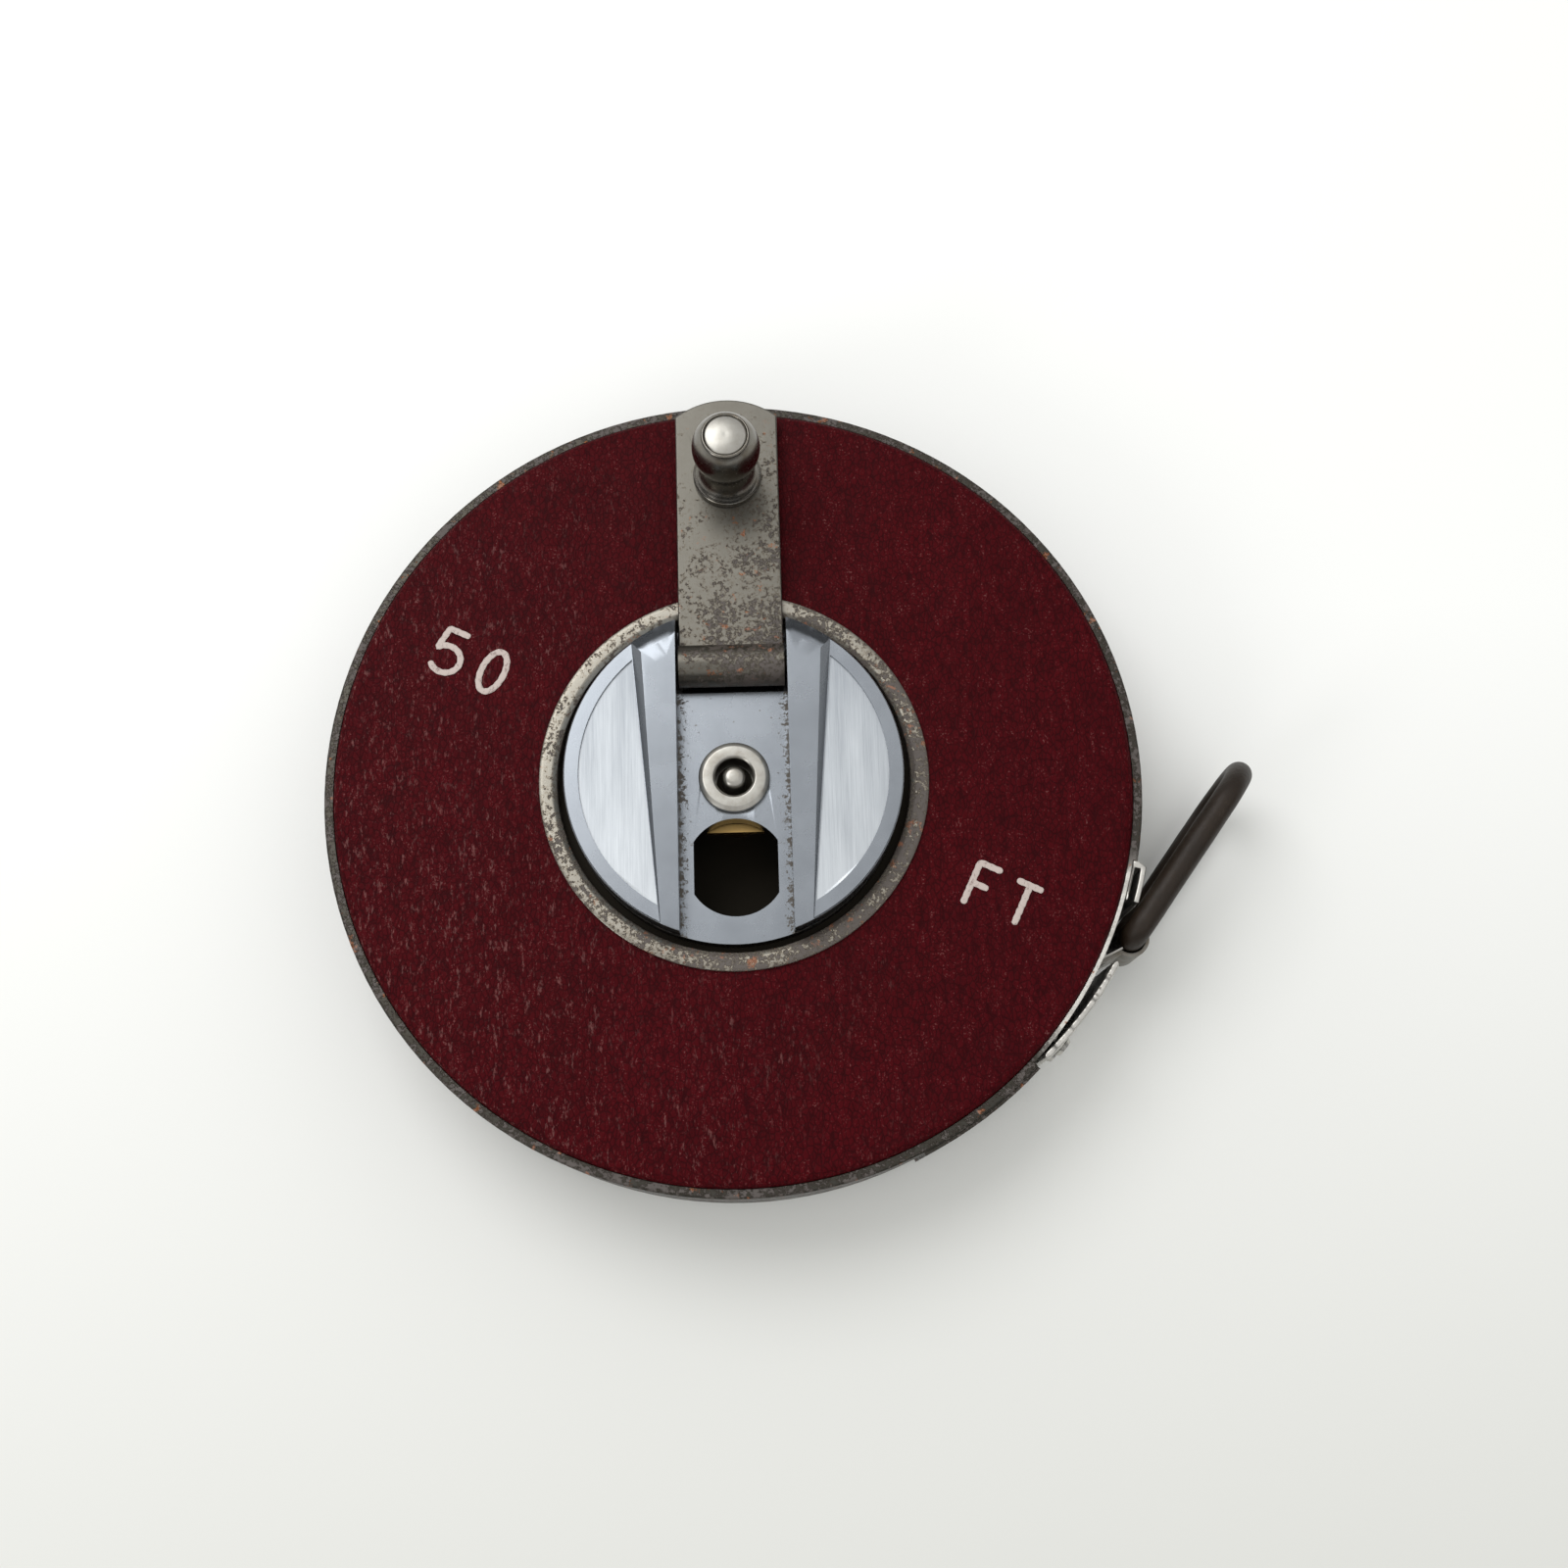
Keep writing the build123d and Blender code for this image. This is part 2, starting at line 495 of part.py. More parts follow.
with BuildPart() as hinge_bar:
    with BuildSketch(Plane.XZ.offset(-DISC_RADIUS)):
        with BuildLine():
            Polyline(
                (CHANNEL_HALF, WING_TOP),
                (BAR_FOOT, WING_TOP),
                (BAR_FOOT - BAR_RISE, BAR_TOP),
                (CHANNEL_HALF, BAR_TOP),
                close=True,
            )
        make_face()
    with BuildSketch(Plane.XZ.offset(DISC_RADIUS)):
        with BuildLine():
            Polyline(
                (CHANNEL_HALF, WING_TOP),
                (CHANNEL_HALF + BAR_WIDTH_FAR + BAR_SLIVER, WING_TOP),
                (CHANNEL_HALF + BAR_WIDTH_FAR, WING_TOP + BAR_SLIVER),
                (CHANNEL_HALF, WING_TOP + BAR_SLIVER),
                close=True,
            )
        make_face()
    loft(ruled=True)
    # the bar's end slopes down to the wing's rim all round the disc
    with BuildSketch(Plane.XZ):
        with BuildLine():
            Polyline(
                (0, WING_TOP - DISC_EDGE),
                (DISC_RADIUS, WING_TOP - DISC_EDGE),
                (DISC_RADIUS, WING_TOP),
                (DISC_RADIUS - BAR_END_BEVEL, BAR_TOP),
                (0, BAR_TOP),
                close=True,
            )
        make_face()
    revolve(axis=Axis.Z, mode=Mode.INTERSECT)

with BuildPart() as winding_disc:
    with BuildSketch(Plane.XY.offset(DISC_BOTTOM)):
        Circle(DISC_RADIUS)
    extrude(amount=WING_TOP - DISC_BOTTOM)
    chamfer(winding_disc.faces().sort_by(Axis.Z)[-1].edges(), length=DISC_EDGE)
    add(hinge_bar.part)
    add(mirror(hinge_bar.part, about=Plane.YZ))
    with BuildSketch(Plane.XY.offset(FLOOR)):
        Rectangle(CHANNEL_WIDTH, 2 * DISC_RADIUS + 1)
    extrude(amount=BAR_TOP - FLOOR, mode=Mode.SUBTRACT)
    # a shallow brushed panel in each wing, between its bar and its rim
    with BuildSketch(Plane.XY.offset(WING_TOP)):
        Circle(DISC_RADIUS - WING_RIM)
        for side in (-1, 1):
            with BuildLine():
                Polyline(
                    (0, -DISC_RADIUS),
                    (side * (CHANNEL_HALF + BAR_WIDTH_FAR + SLIP), -DISC_RADIUS),
                    (side * (BAR_FOOT + SLIP), DISC_RADIUS),
                    (0, DISC_RADIUS),
                    close=True,
                )
            make_face(mode=Mode.SUBTRACT)
    extrude(amount=-PANEL_DEPTH, mode=Mode.SUBTRACT)
    # clearance under the handle's knuckle, open to the rim
    knuckle_edge = HINGE_Y - KNUCKLE_RADIUS - LOOSE
    with BuildSketch(Plane.XY.offset(FLOOR)):
        with Locations((0, (knuckle_edge + DISC_RADIUS) / 2 + 1)):
            Rectangle(CHANNEL_WIDTH, DISC_RADIUS - knuckle_edge + 2)
    extrude(amount=-NOTCH_DEPTH, mode=Mode.SUBTRACT)
    with BuildSketch(HINGE_PLANE):
        Circle(HINGE_PIN_RADIUS)
    extrude(amount=CHANNEL_HALF + HINGE_PIN_REACH, both=True, mode=Mode.SUBTRACT)
    with BuildSketch(Plane.XY.offset(DISC_BOTTOM)):
        Circle(BUSH_RADIUS)
        with Locations((0, WELL_Y)):
            Circle(WELL_RADIUS)
        for side in (-1, 1):
            with Locations((side * (WELL_HALF_WIDTH + WELL_RADIUS / 2), WELL_Y)):
                Rectangle(WELL_RADIUS, 2 * WELL_RADIUS, mode=Mode.SUBTRACT)
    extrude(amount=FLOOR - DISC_BOTTOM, mode=Mode.SUBTRACT)
    with BuildSketch(Plane.XY.offset(DISC_BOTTOM)):
        for angle in HUB_LUG_ANGLES:
            with Locations(polar(HUB_LUG_PITCH, angle)):
                Circle(DRUM_RIVET_RADIUS)
    extrude(amount=RIVET_DEPTH_IN_DISC, mode=Mode.SUBTRACT)
save(winding_disc.part, "winding_disc")


def flange(name, base_z, with_well):
    """A drum flange, with the bush's hole, the rivets' holes and, in front, the knob's hole."""
    with BuildPart() as plate:
        with BuildSketch(Plane.XY.offset(base_z)):
            Circle(FLANGE_RADIUS)
            Circle(BUSH_RADIUS, mode=Mode.SUBTRACT)
            for angle in HUB_LUG_ANGLES:
                with Locations(polar(HUB_LUG_PITCH, angle)):
                    Circle(DRUM_RIVET_RADIUS, mode=Mode.SUBTRACT)
            if with_well:
                with Locations((0, WELL_Y)):
                    Rectangle(2 * WELL_HALF_WIDTH, 2 * WELL_RADIUS, mode=Mode.SUBTRACT)
        extrude(amount=FLANGE_THICK)
    save(plate.part, name)


flange("drum_front_flange", FRONT_FLANGE, True)
flange("drum_rear_flange", REAR_FLANGE, False)

with BuildPart() as drum_hub:
    with BuildSketch(Plane.XY.offset(REAR_FLANGE_TOP)):
        Circle(HUB_RADIUS)
        Circle(HUB_RADIUS - HUB_WALL, mode=Mode.SUBTRACT)
        for angle in HUB_LUG_ANGLES:
            with Locations(polar(HUB_LUG_PITCH, angle)):
                Circle(HUB_LUG_RADIUS)
        for angle in HUB_LUG_ANGLES:
            with Locations(polar(HUB_LUG_PITCH, angle)):
                Circle(DRUM_RIVET_RADIUS, mode=Mode.SUBTRACT)
    extrude(amount=FRONT_FLANGE - REAR_FLANGE_TOP)
save(drum_hub.part, "drum_hub")

with BuildPart() as drum_rivets:
    for angle in HUB_LUG_ANGLES:
        with BuildSketch(Plane.XY.offset(REAR_FLANGE)):
            with Locations(polar(HUB_LUG_PITCH, angle)):
                Circle(DRUM_RIVET_RADIUS)
        extrude(amount=DISC_BOTTOM + RIVET_DEPTH_IN_DISC - REAR_FLANGE)
        with BuildSketch(Plane.XY.offset(REAR_FLANGE)):
            with Locations(polar(HUB_LUG_PITCH, angle)):
                Circle(DRUM_RIVET_RADIUS + RIVET_HEAD_SPREAD)
        extrude(amount=-RIVET_HEAD_HEIGHT)
save(drum_rivets.part, "drum_rivets")

with BuildPart() as hub_bush:
    with BuildSketch(Plane.XY.offset(REAR_FLANGE)):
        Circle(BUSH_RADIUS)
    extrude(amount=FLOOR - REAR_FLANGE)
    with BuildSketch(Plane.XY.offset(FRONT_FLANGE)):
        RegularPolygon(BUSH_COLLAR_APOTHEM, 6, major_radius=False)
    extrude(amount=-BUSH_COLLAR_HEIGHT)
    with BuildSketch(Plane.XY.offset(REAR_FLANGE)):
        Circle(BUSH_BORE)
    extrude(amount=FLOOR - REAR_FLANGE, mode=Mode.SUBTRACT)
save(hub_bush.part, "hub_bush")

with BuildPart() as tape_coil:
    with BuildSketch(Plane.XY.offset(TAPE_BOTTOM)):
        Circle(COIL_OUTER)
        Circle(COIL_INNER, mode=Mode.SUBTRACT)
    extrude(amount=TAPE_WIDTH)
save(tape_coil.part, "tape_coil")

with BuildPart() as tape_anchor:
    with BuildSketch(Plane.XY.offset(TAPE_MIDDLE - TAPE_WIDTH * 0.4)):
        with BuildLine():
            Polyline(*sector(COIL_INNER, 90 - ANCHOR_HALF_ANGLE, 90 + ANCHOR_HALF_ANGLE), close=True)
        make_face()
        Circle(COIL_INNER - RUN, mode=Mode.INTERSECT)
        Circle(HUB_RADIUS, mode=Mode.SUBTRACT)
    extrude(amount=TAPE_WIDTH * 0.8)
save(tape_anchor.part, "tape_anchor")

with BuildPart() as hinge_pin:
    with BuildSketch(HINGE_PLANE):
        Circle(HINGE_PIN_RADIUS)
    extrude(amount=CHANNEL_HALF + HINGE_PIN_REACH, both=True)
save(hinge_pin.part, "hinge_pin")

# ================================================================ handle
STRAP_CORNER_Y = STRAP_TIP_Y - STRAP_TIP_ARC + sqrt(STRAP_TIP_ARC**2 - (STRAP_WIDTH / 2) ** 2)
with BuildPart() as handle_strap:
    with BuildSketch(Plane.XY.offset(STRAP_BACK)):
        with BuildLine():
            Line((-STRAP_WIDTH / 2, STRAP_CORNER_Y), (-STRAP_WIDTH / 2, HINGE_Y))
            Line((-STRAP_WIDTH / 2, HINGE_Y), (STRAP_WIDTH / 2, HINGE_Y))
            Line((STRAP_WIDTH / 2, HINGE_Y), (STRAP_WIDTH / 2, STRAP_CORNER_Y))
            ThreePointArc((STRAP_WIDTH / 2, STRAP_CORNER_Y), (0, STRAP_TIP_Y), (-STRAP_WIDTH / 2, STRAP_CORNER_Y))
        make_face()
    extrude(amount=STRAP_THICK)
    fillet(handle_strap.faces().sort_by(Axis.Z)[-1].edges(), radius=STRAP_EDGE)
    with BuildSketch(HINGE_PLANE):
        Circle(KNUCKLE_RADIUS)
    extrude(amount=STRAP_WIDTH / 2, both=True)
    with BuildSketch(HINGE_PLANE):
        Circle(HINGE_PIN_RADIUS + RUN)
    extrude(amount=STRAP_WIDTH, both=True, mode=Mode.SUBTRACT)
    with BuildSketch(Plane.XY.offset(STRAP_BACK)):
        with Locations((0, KNOB_Y)):
            Circle(STUD_RADIUS)
    extrude(amount=STRAP_THICK, mode=Mode.SUBTRACT)
save(handle_strap.part, "handle_strap")

KNOB_PLANE = Plane(origin=(0, KNOB_Y, 0), x_dir=(1, 0, 0), z_dir=(0, -1, 0))
KNOB_AXIS = Axis((0, KNOB_Y, 0), (0, 0, 1))
STUD_TOP = KNOB_TOP
with BuildPart() as knob_stud:
    with BuildSketch(KNOB_PLANE):
        with BuildLine():
            Polyline(
                (0, STRAP_BACK),
                (STUD_RADIUS, STRAP_BACK),
                (STUD_RADIUS, STUD_TOP - STUD_HEAD_HEIGHT),
                (STUD_HEAD_RADIUS, STUD_TOP - STUD_HEAD_HEIGHT),
                (STUD_HEAD_RADIUS, STUD_TOP),
                (0, STUD_TOP),
                close=True,
            )
        make_face()
    revolve(axis=KNOB_AXIS)
    fillet(knob_stud.faces().sort_by(Axis.Z)[-1].edges(), radius=RIVET_HEAD_HEIGHT / 2)
save(knob_stud.part, "knob_stud")

# ================================================================ knob
KNOB_NECK_Z = KNOB_BOTTOM + KNOB_NECK_HEIGHT
KNOB_THROAT_Z = KNOB_BOTTOM + KNOB_THROAT_HEIGHT
KNOB_WIDEST_Z = KNOB_BOTTOM + KNOB_WIDEST_HEIGHT
KNOB_SHOULDER_Z = STUD_TOP - RIVET_HEAD_HEIGHT / 2
with BuildPart() as knob:
    with BuildSketch(KNOB_PLANE):
        with BuildLine():
            Line((STUD_RADIUS + RUN, KNOB_BOTTOM), (KNOB_FOOT_RADIUS, KNOB_BOTTOM))
            Line((KNOB_FOOT_RADIUS, KNOB_BOTTOM), (KNOB_FOOT_RADIUS, KNOB_BOTTOM + KNOB_FOOT_HEIGHT))
            ThreePointArc(
                (KNOB_FOOT_RADIUS, KNOB_BOTTOM + KNOB_FOOT_HEIGHT),
                (KNOB_NECK_RADIUS, KNOB_NECK_Z),
                (KNOB_THROAT_RADIUS, KNOB_THROAT_Z),
            )
            ThreePointArc(
                (KNOB_THROAT_RADIUS, KNOB_THROAT_Z),
                (KNOB_RADIUS, KNOB_WIDEST_Z),
                (KNOB_TOP_RADIUS, KNOB_SHOULDER_Z),
            )
            Line((KNOB_TOP_RADIUS, KNOB_SHOULDER_Z), (STUD_HEAD_RADIUS + SLIP, KNOB_SHOULDER_Z))
            Line(
                (STUD_HEAD_RADIUS + SLIP, KNOB_SHOULDER_Z),
                (STUD_HEAD_RADIUS + SLIP, STUD_TOP - STUD_HEAD_HEIGHT - RUN),
            )
            Line(
                (STUD_HEAD_RADIUS + SLIP, STUD_TOP - STUD_HEAD_HEIGHT - RUN),
                (STUD_RADIUS + RUN, STUD_TOP - STUD_HEAD_HEIGHT - RUN),
            )
            Line((STUD_RADIUS + RUN, STUD_TOP - STUD_HEAD_HEIGHT - RUN), (STUD_RADIUS + RUN, KNOB_BOTTOM))
        make_face()
    revolve(axis=KNOB_AXIS)
save(knob.part, "knob")

# ================================================================ tape end
TAPE_PLANE = Plane(origin=(0, 0, TAPE_MIDDLE), x_dir=(*polar(1, TAPE_HEADING), 0), z_dir=(0, 0, -1))
TAB_LINE = TAPE_LINE + TAPE_THICK / 2 + CLIP_THICK / 2
HOOK_RADIUS = RING_WIRE_RADIUS + 2 * SLIP + CLIP_THICK / 2
HOOK_LINE = TAPE_LINE - CROSSBAR_INSIDE
TAB_END = CROSSBAR_ALONG - sqrt(HOOK_RADIUS**2 - (TAB_LINE - HOOK_LINE) ** 2)
TAB_START = TAB_END - CLIP_TAB_LENGTH
CLIP_RIVET_PLACES = tuple(TAB_START + along for along in CLIP_RIVETS_ALONG)

with BuildPart() as tape_lead:
    with BuildSketch(TAPE_PLANE):
        with Locations(((LEAD_START + TAB_END) / 2, TAPE_LINE)):
            Rectangle(TAB_END - LEAD_START, TAPE_THICK)
    extrude(amount=TAPE_WIDTH / 2, both=True)
    for place in CLIP_RIVET_PLACES:
        with BuildSketch(Plane(origin=(*on_tape(place, 0), TAPE_MIDDLE), z_dir=(*polar(1, LEAVE_ANGLE), 0))):
            Circle(CLIP_RIVET_RADIUS)
        extrude(amount=TAPE_LINE + TAPE_THICK, mode=Mode.SUBTRACT)
save(tape_lead.part, "tape_lead")

with BuildPart() as end_clip:
    with BuildSketch(TAPE_PLANE):
        with BuildLine():
            Line((TAB_START, TAB_LINE), (TAB_END, TAB_LINE))
        trace(line_width=CLIP_THICK)
        with BuildLine():
            start = (TAB_END, TAB_LINE)
            crown = (CROSSBAR_ALONG, HOOK_LINE + HOOK_RADIUS)
            finish = (CROSSBAR_ALONG + HOOK_RADIUS * cos(HOOK_END), HOOK_LINE - HOOK_RADIUS * sin(HOOK_END))
            ThreePointArc(start, crown, finish)
        trace(line_width=CLIP_THICK)
        with Locations(start):
            Circle(CLIP_THICK / 2)
    extrude(amount=CLIP_WIDTH / 2, both=True)
    for place in CLIP_RIVET_PLACES:
        with BuildSketch(Plane(origin=(*on_tape(place, 0), TAPE_MIDDLE), z_dir=(*polar(1, LEAVE_ANGLE), 0))):
            Circle(CLIP_RIVET_RADIUS)
        extrude(amount=TAB_LINE + CLIP_THICK, mode=Mode.SUBTRACT)
save(end_clip.part, "end_clip")

RIVET_BACK = TAPE_LINE - TAPE_THICK / 2 - SLIP
with BuildPart() as clip_rivets:
    for place in CLIP_RIVET_PLACES:
        rivet_plane = Plane(origin=(*on_tape(place, RIVET_BACK), TAPE_MIDDLE), z_dir=(*polar(1, LEAVE_ANGLE), 0))
        with BuildSketch(rivet_plane):
            Circle(CLIP_RIVET_RADIUS)
        extrude(amount=TAB_LINE + CLIP_THICK / 2 - RIVET_BACK)
save(clip_rivets.part, "clip_rivets")

# ================================================================ ring
RING_HALF = RING_WIDTH / 2 - RING_WIRE_RADIUS
RING_STRAIGHT_END = RING_LENGTH - RING_WIRE_RADIUS - RING_HALF
RING_PLANE = Plane(
    origin=(*CROSSBAR, TAPE_MIDDLE),
    x_dir=(*polar(1, RING_DIRECTION), 0),
    z_dir=(*polar(1, RING_DIRECTION - 90), 0),
)
with BuildPart() as end_ring:
    with BuildLine(RING_PLANE) as ring_path:
        Line((0, 0), (0, RING_HALF - RING_CORNER))
        RadiusArc((0, RING_HALF - RING_CORNER), (RING_CORNER, RING_HALF), RING_CORNER)
        Line((RING_CORNER, RING_HALF), (RING_STRAIGHT_END, RING_HALF))
        RadiusArc((RING_STRAIGHT_END, RING_HALF), (RING_STRAIGHT_END + RING_HALF, 0), RING_HALF)
    with BuildSketch(Plane(origin=(*CROSSBAR, TAPE_MIDDLE), z_dir=ring_path.wire() % 0)):
        Circle(RING_WIRE_RADIUS)
    sweep(path=ring_path.wire())
    mirror(about=Plane.XY.offset(TAPE_MIDDLE))
save(end_ring.part, "end_ring")
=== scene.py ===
"""Looks for a leather-faced tape reel with a flush folding handle, laid out as a Blender add-on.

Sizes in this file are in millimetres until they reach a mesh, where MM turns them into metres.
Angles round the case are in degrees, counter-clockwise from +X, as in the model itself.
"""

import json
import math

import bmesh
import bpy
import numpy as np
from bpy.props import FloatProperty, FloatVectorProperty, PointerProperty
from bpy.types import Operator, Panel, PropertyGroup
from mathutils import Matrix, Vector

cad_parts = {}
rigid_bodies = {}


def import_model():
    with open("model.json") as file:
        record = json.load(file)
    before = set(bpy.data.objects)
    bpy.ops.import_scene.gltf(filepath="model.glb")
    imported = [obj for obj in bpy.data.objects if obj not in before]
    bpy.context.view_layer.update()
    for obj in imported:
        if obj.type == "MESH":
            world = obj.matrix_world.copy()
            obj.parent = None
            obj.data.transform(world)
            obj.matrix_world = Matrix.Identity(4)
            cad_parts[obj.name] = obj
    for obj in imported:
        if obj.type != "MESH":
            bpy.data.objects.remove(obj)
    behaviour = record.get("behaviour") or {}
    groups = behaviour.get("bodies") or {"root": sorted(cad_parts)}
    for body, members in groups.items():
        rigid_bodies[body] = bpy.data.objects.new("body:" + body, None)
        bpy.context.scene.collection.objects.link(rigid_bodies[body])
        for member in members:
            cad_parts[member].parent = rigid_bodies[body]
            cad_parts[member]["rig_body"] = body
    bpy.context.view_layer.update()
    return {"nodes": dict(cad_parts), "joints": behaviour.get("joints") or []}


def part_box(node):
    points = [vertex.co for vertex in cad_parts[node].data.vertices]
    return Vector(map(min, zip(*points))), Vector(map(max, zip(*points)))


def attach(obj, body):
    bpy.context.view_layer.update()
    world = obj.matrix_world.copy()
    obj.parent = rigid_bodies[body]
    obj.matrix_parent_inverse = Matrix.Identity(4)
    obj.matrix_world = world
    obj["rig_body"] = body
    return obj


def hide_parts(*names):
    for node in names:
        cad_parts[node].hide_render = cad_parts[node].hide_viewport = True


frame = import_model()

bl_info = {
    "name": "Tape Reel Looks",
    "version": (1, 0, 0),
    "blender": (4, 5, 0),
    "location": "3D View > Sidebar > Tape Reel",
    "description": "Surfaces and finishes for a leather-faced crank tape reel",
    "category": "Object",
}

MM = 0.001
WELD = 1e-7


def node_box(node):
    """Lowest and highest corner of a node at rest, in millimetres."""
    low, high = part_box(node)
    return np.array(low) / MM, np.array(high) / MM


# ------------------------------------------------------------------ places read from the frame
LEATHER_LOW, LEATHER_HIGH = node_box("front_leather")
LEATHER_RADIUS = LEATHER_HIGH[0]
FACE = LEATHER_HIGH[2]
LEATHER_THICK = FACE - LEATHER_LOW[2]
BEZEL_LOW, BEZEL_HIGH = node_box("bezel_ring")
KNOB_LOW, KNOB_HIGH = node_box("knob")
CAP_LOW, CAP_HIGH = node_box("axle_cap")
RING_LOW, RING_HIGH = node_box("end_ring")
JOINTS = {joint["name"]: joint for joint in frame["joints"]}
KNOB_Y = JOINTS["knob_spin"]["pos_m"][1] / MM
CROSSBAR = np.array(JOINTS["ring_swing"]["pos_m"]) / MM

# ------------------------------------------------------------------ sizes that the boxes don't give
FRONT_HOLE = 20.4
REAR_HOLE = 9.0
BEZEL_INNER = 19.8
KNOB_SHAFT = 1.55
STUD_SHAFT = 1.5
CAP_HOLE = 2.15
CAP_HEIGHT = 0.8
KNOB_FOOT = 0.7
KNOB_NECK = (2.7, 2.6)  # radius, and height over the knob's bottom; so are the next two
KNOB_THROAT = (3.1, 4.9)
KNOB_WIDEST = (-0.1, 7.6)  # its radius is past the knob's own
KNOB_TOP_RADIUS = 2.6
MOUTH_START = -44.0
MOUTH_WALL_END = -27.5
MOUTH_INNER = 45.55
MOUTH_FLARE = 1.05
MOUTH_THICK = 1.0
RING_TURN = math.radians(53)
RING_WIRE = 1.5
RING_LENGTH = 25.8
RING_BEND = 2.0  # at the crossbar's ends
RING_SIDES = 28

# ------------------------------------------------------------------ camera and lights, in metres
CAMERA_PLACE = (0.00209, -0.05137, 0.20899)
CAMERA_ANGLES = (2.3425, 14.744, -3.94)  # roll, tilt and turn, in degrees
CAMERA_LENS = 40.7
LIGHTS = (
    ("key", (-0.20, 0.26, 0.50), 0.40, 1.3),
    ("low_side", (-0.30, -0.25, 0.25), 0.15, 0.25),
)
AMBIENT = 0.80
SURROUND_RADIUS = 600  # millimetres


# ------------------------------------------------------------------ shader maths
class Wire:
    """One shader socket. Arithmetic on wires adds Math nodes to their tree."""

    def __init__(self, finish, socket):
        self.finish = finish
        self.socket = socket

    def maths(self, operation, *others, clamp=False):
        return self.finish.node(
            "ShaderNodeMath", {"operation": operation, "use_clamp": clamp}, dict(enumerate((self, *others)))
        )

    def __add__(self, other):
        return self.maths("ADD", other)

    __radd__ = __add__

    def __mul__(self, other):
        return self.maths("MULTIPLY", other)

    __rmul__ = __mul__

    def __sub__(self, other):
        return self.maths("SUBTRACT", other)

    def __rsub__(self, other):
        return self.finish.node("ShaderNodeMath", {"operation": "SUBTRACT"}, {0: other, 1: self})

    def __truediv__(self, other):
        return self.maths("DIVIDE", other)

    def __pow__(self, other):
        return self.maths("POWER", other)

    def __abs__(self):
        return self.maths("ABSOLUTE")

    def above(self, edge, soft):
        """0 below edge, 1 above edge + soft, and a straight slope between."""
        return ((self - edge) / soft).maths("ADD", 0.0, clamp=True)

    def below(self, edge, soft):
        """1 below edge - soft, 0 above edge, and a straight slope between."""
        return ((edge - self) / soft).maths("ADD", 0.0, clamp=True)


class Tree:
    """A shader node tree that is built one node at a time."""

    def __init__(self, tree):
        self.tree = tree

    def node(self, kind, settings, sockets, output=0):
        """Add one node: its settings first, then the values or links of its sockets."""
        made = self.tree.nodes.new(kind)
        for name, value in settings.items():
            setattr(made, name, value)
        for socket, value in sockets.items():
            if isinstance(value, Wire):
                self.tree.links.new(value.socket, made.inputs[socket])
            else:
                made.inputs[socket].default_value = value
        return Wire(self, made.outputs[output])

    def link(self, wire, node, socket):
        self.tree.links.new(wire.socket, node.inputs[socket])


class Finish(Tree):
    """A node-based material. Patterns are laid out in millimetres on the piece itself."""

    def __init__(self, name, **constants):
        self.material = bpy.data.materials.new(name)
        self.material.use_nodes = True
        super().__init__(self.material.node_tree)
        self.shader = next(n for n in self.tree.nodes if n.type == "BSDF_PRINCIPLED")
        self.place = self.node(
            "ShaderNodeMapping",
            {},
            {"Vector": self.node("ShaderNodeTexCoord", {}, {}, "Object"), "Scale": (1 / MM,) * 3},
            "Vector",
        )
        for socket, value in constants.items():
            self.shader.inputs[socket.replace("_", " ")].default_value = value

    def axis(self, letter):
        """Place along X, Y or Z, in millimetres."""
        return self.node("ShaderNodeSeparateXYZ", {}, {"Vector": self.place}, letter)

    def radius(self):
        """Distance from the reel's axis, in millimetres."""
        return (self.axis("X") ** 2.0 + self.axis("Y") ** 2.0) ** 0.5

    def noise(self, size, detail=4.0, roughness=0.55, stretch=(1, 1, 1), turn=0.0, shift=0.0):
        """Noise with blotches of about this size in millimetres, longer along an axis by stretch."""
        place = self.node(
            "ShaderNodeMapping",
            {},
            {
                "Vector": self.place,
                "Location": (shift, shift * 0.7, shift * 1.3),
                "Rotation": (0.0, 0.0, math.radians(turn)),
                "Scale": tuple(1.0 / s for s in stretch),
            },
            "Vector",
        )
        return self.node(
            "ShaderNodeTexNoise",
            {},
            {"Vector": place, "Scale": 1.0 / size, "Detail": detail, "Roughness": roughness},
            "Fac",
        )

    def cells(self, size, feature="DISTANCE_TO_EDGE", stretch=(1, 1, 1)):
        """Distance to the nearest edge of irregular cells of about this size in millimetres."""
        scale = tuple(1.0 / s for s in stretch)
        place = self.node("ShaderNodeMapping", {}, {"Vector": self.place, "Scale": scale}, "Vector")
        return self.node(
            "ShaderNodeTexVoronoi", {"feature": feature}, {"Vector": place, "Scale": 1.0 / size}, "Distance"
        )

    def mix(self, share, first, second):
        """Colour from first to second as share goes from 0 to 1."""
        pair = [c if isinstance(c, Wire) else (*c, 1.0) for c in (first, second)]
        return self.node("ShaderNodeMix", {"data_type": "RGBA"}, {0: share, 6: pair[0], 7: pair[1]}, 2)

    def bump(self, height, depth, under=None):
        """Raise the surface by height times depth, in millimetres, over an earlier bump."""
        sockets = {"Height": height, "Distance": depth * MM, "Strength": 1.0}
        if under:
            sockets["Normal"] = under
        return self.node("ShaderNodeBump", {}, sockets, "Normal")

    def feed(self, **wires):
        """Link what changes over the surface to the shader's own sockets."""
        for socket, wire in wires.items():
            self.link(wire, self.shader, socket.replace("_", " "))
        return self.material


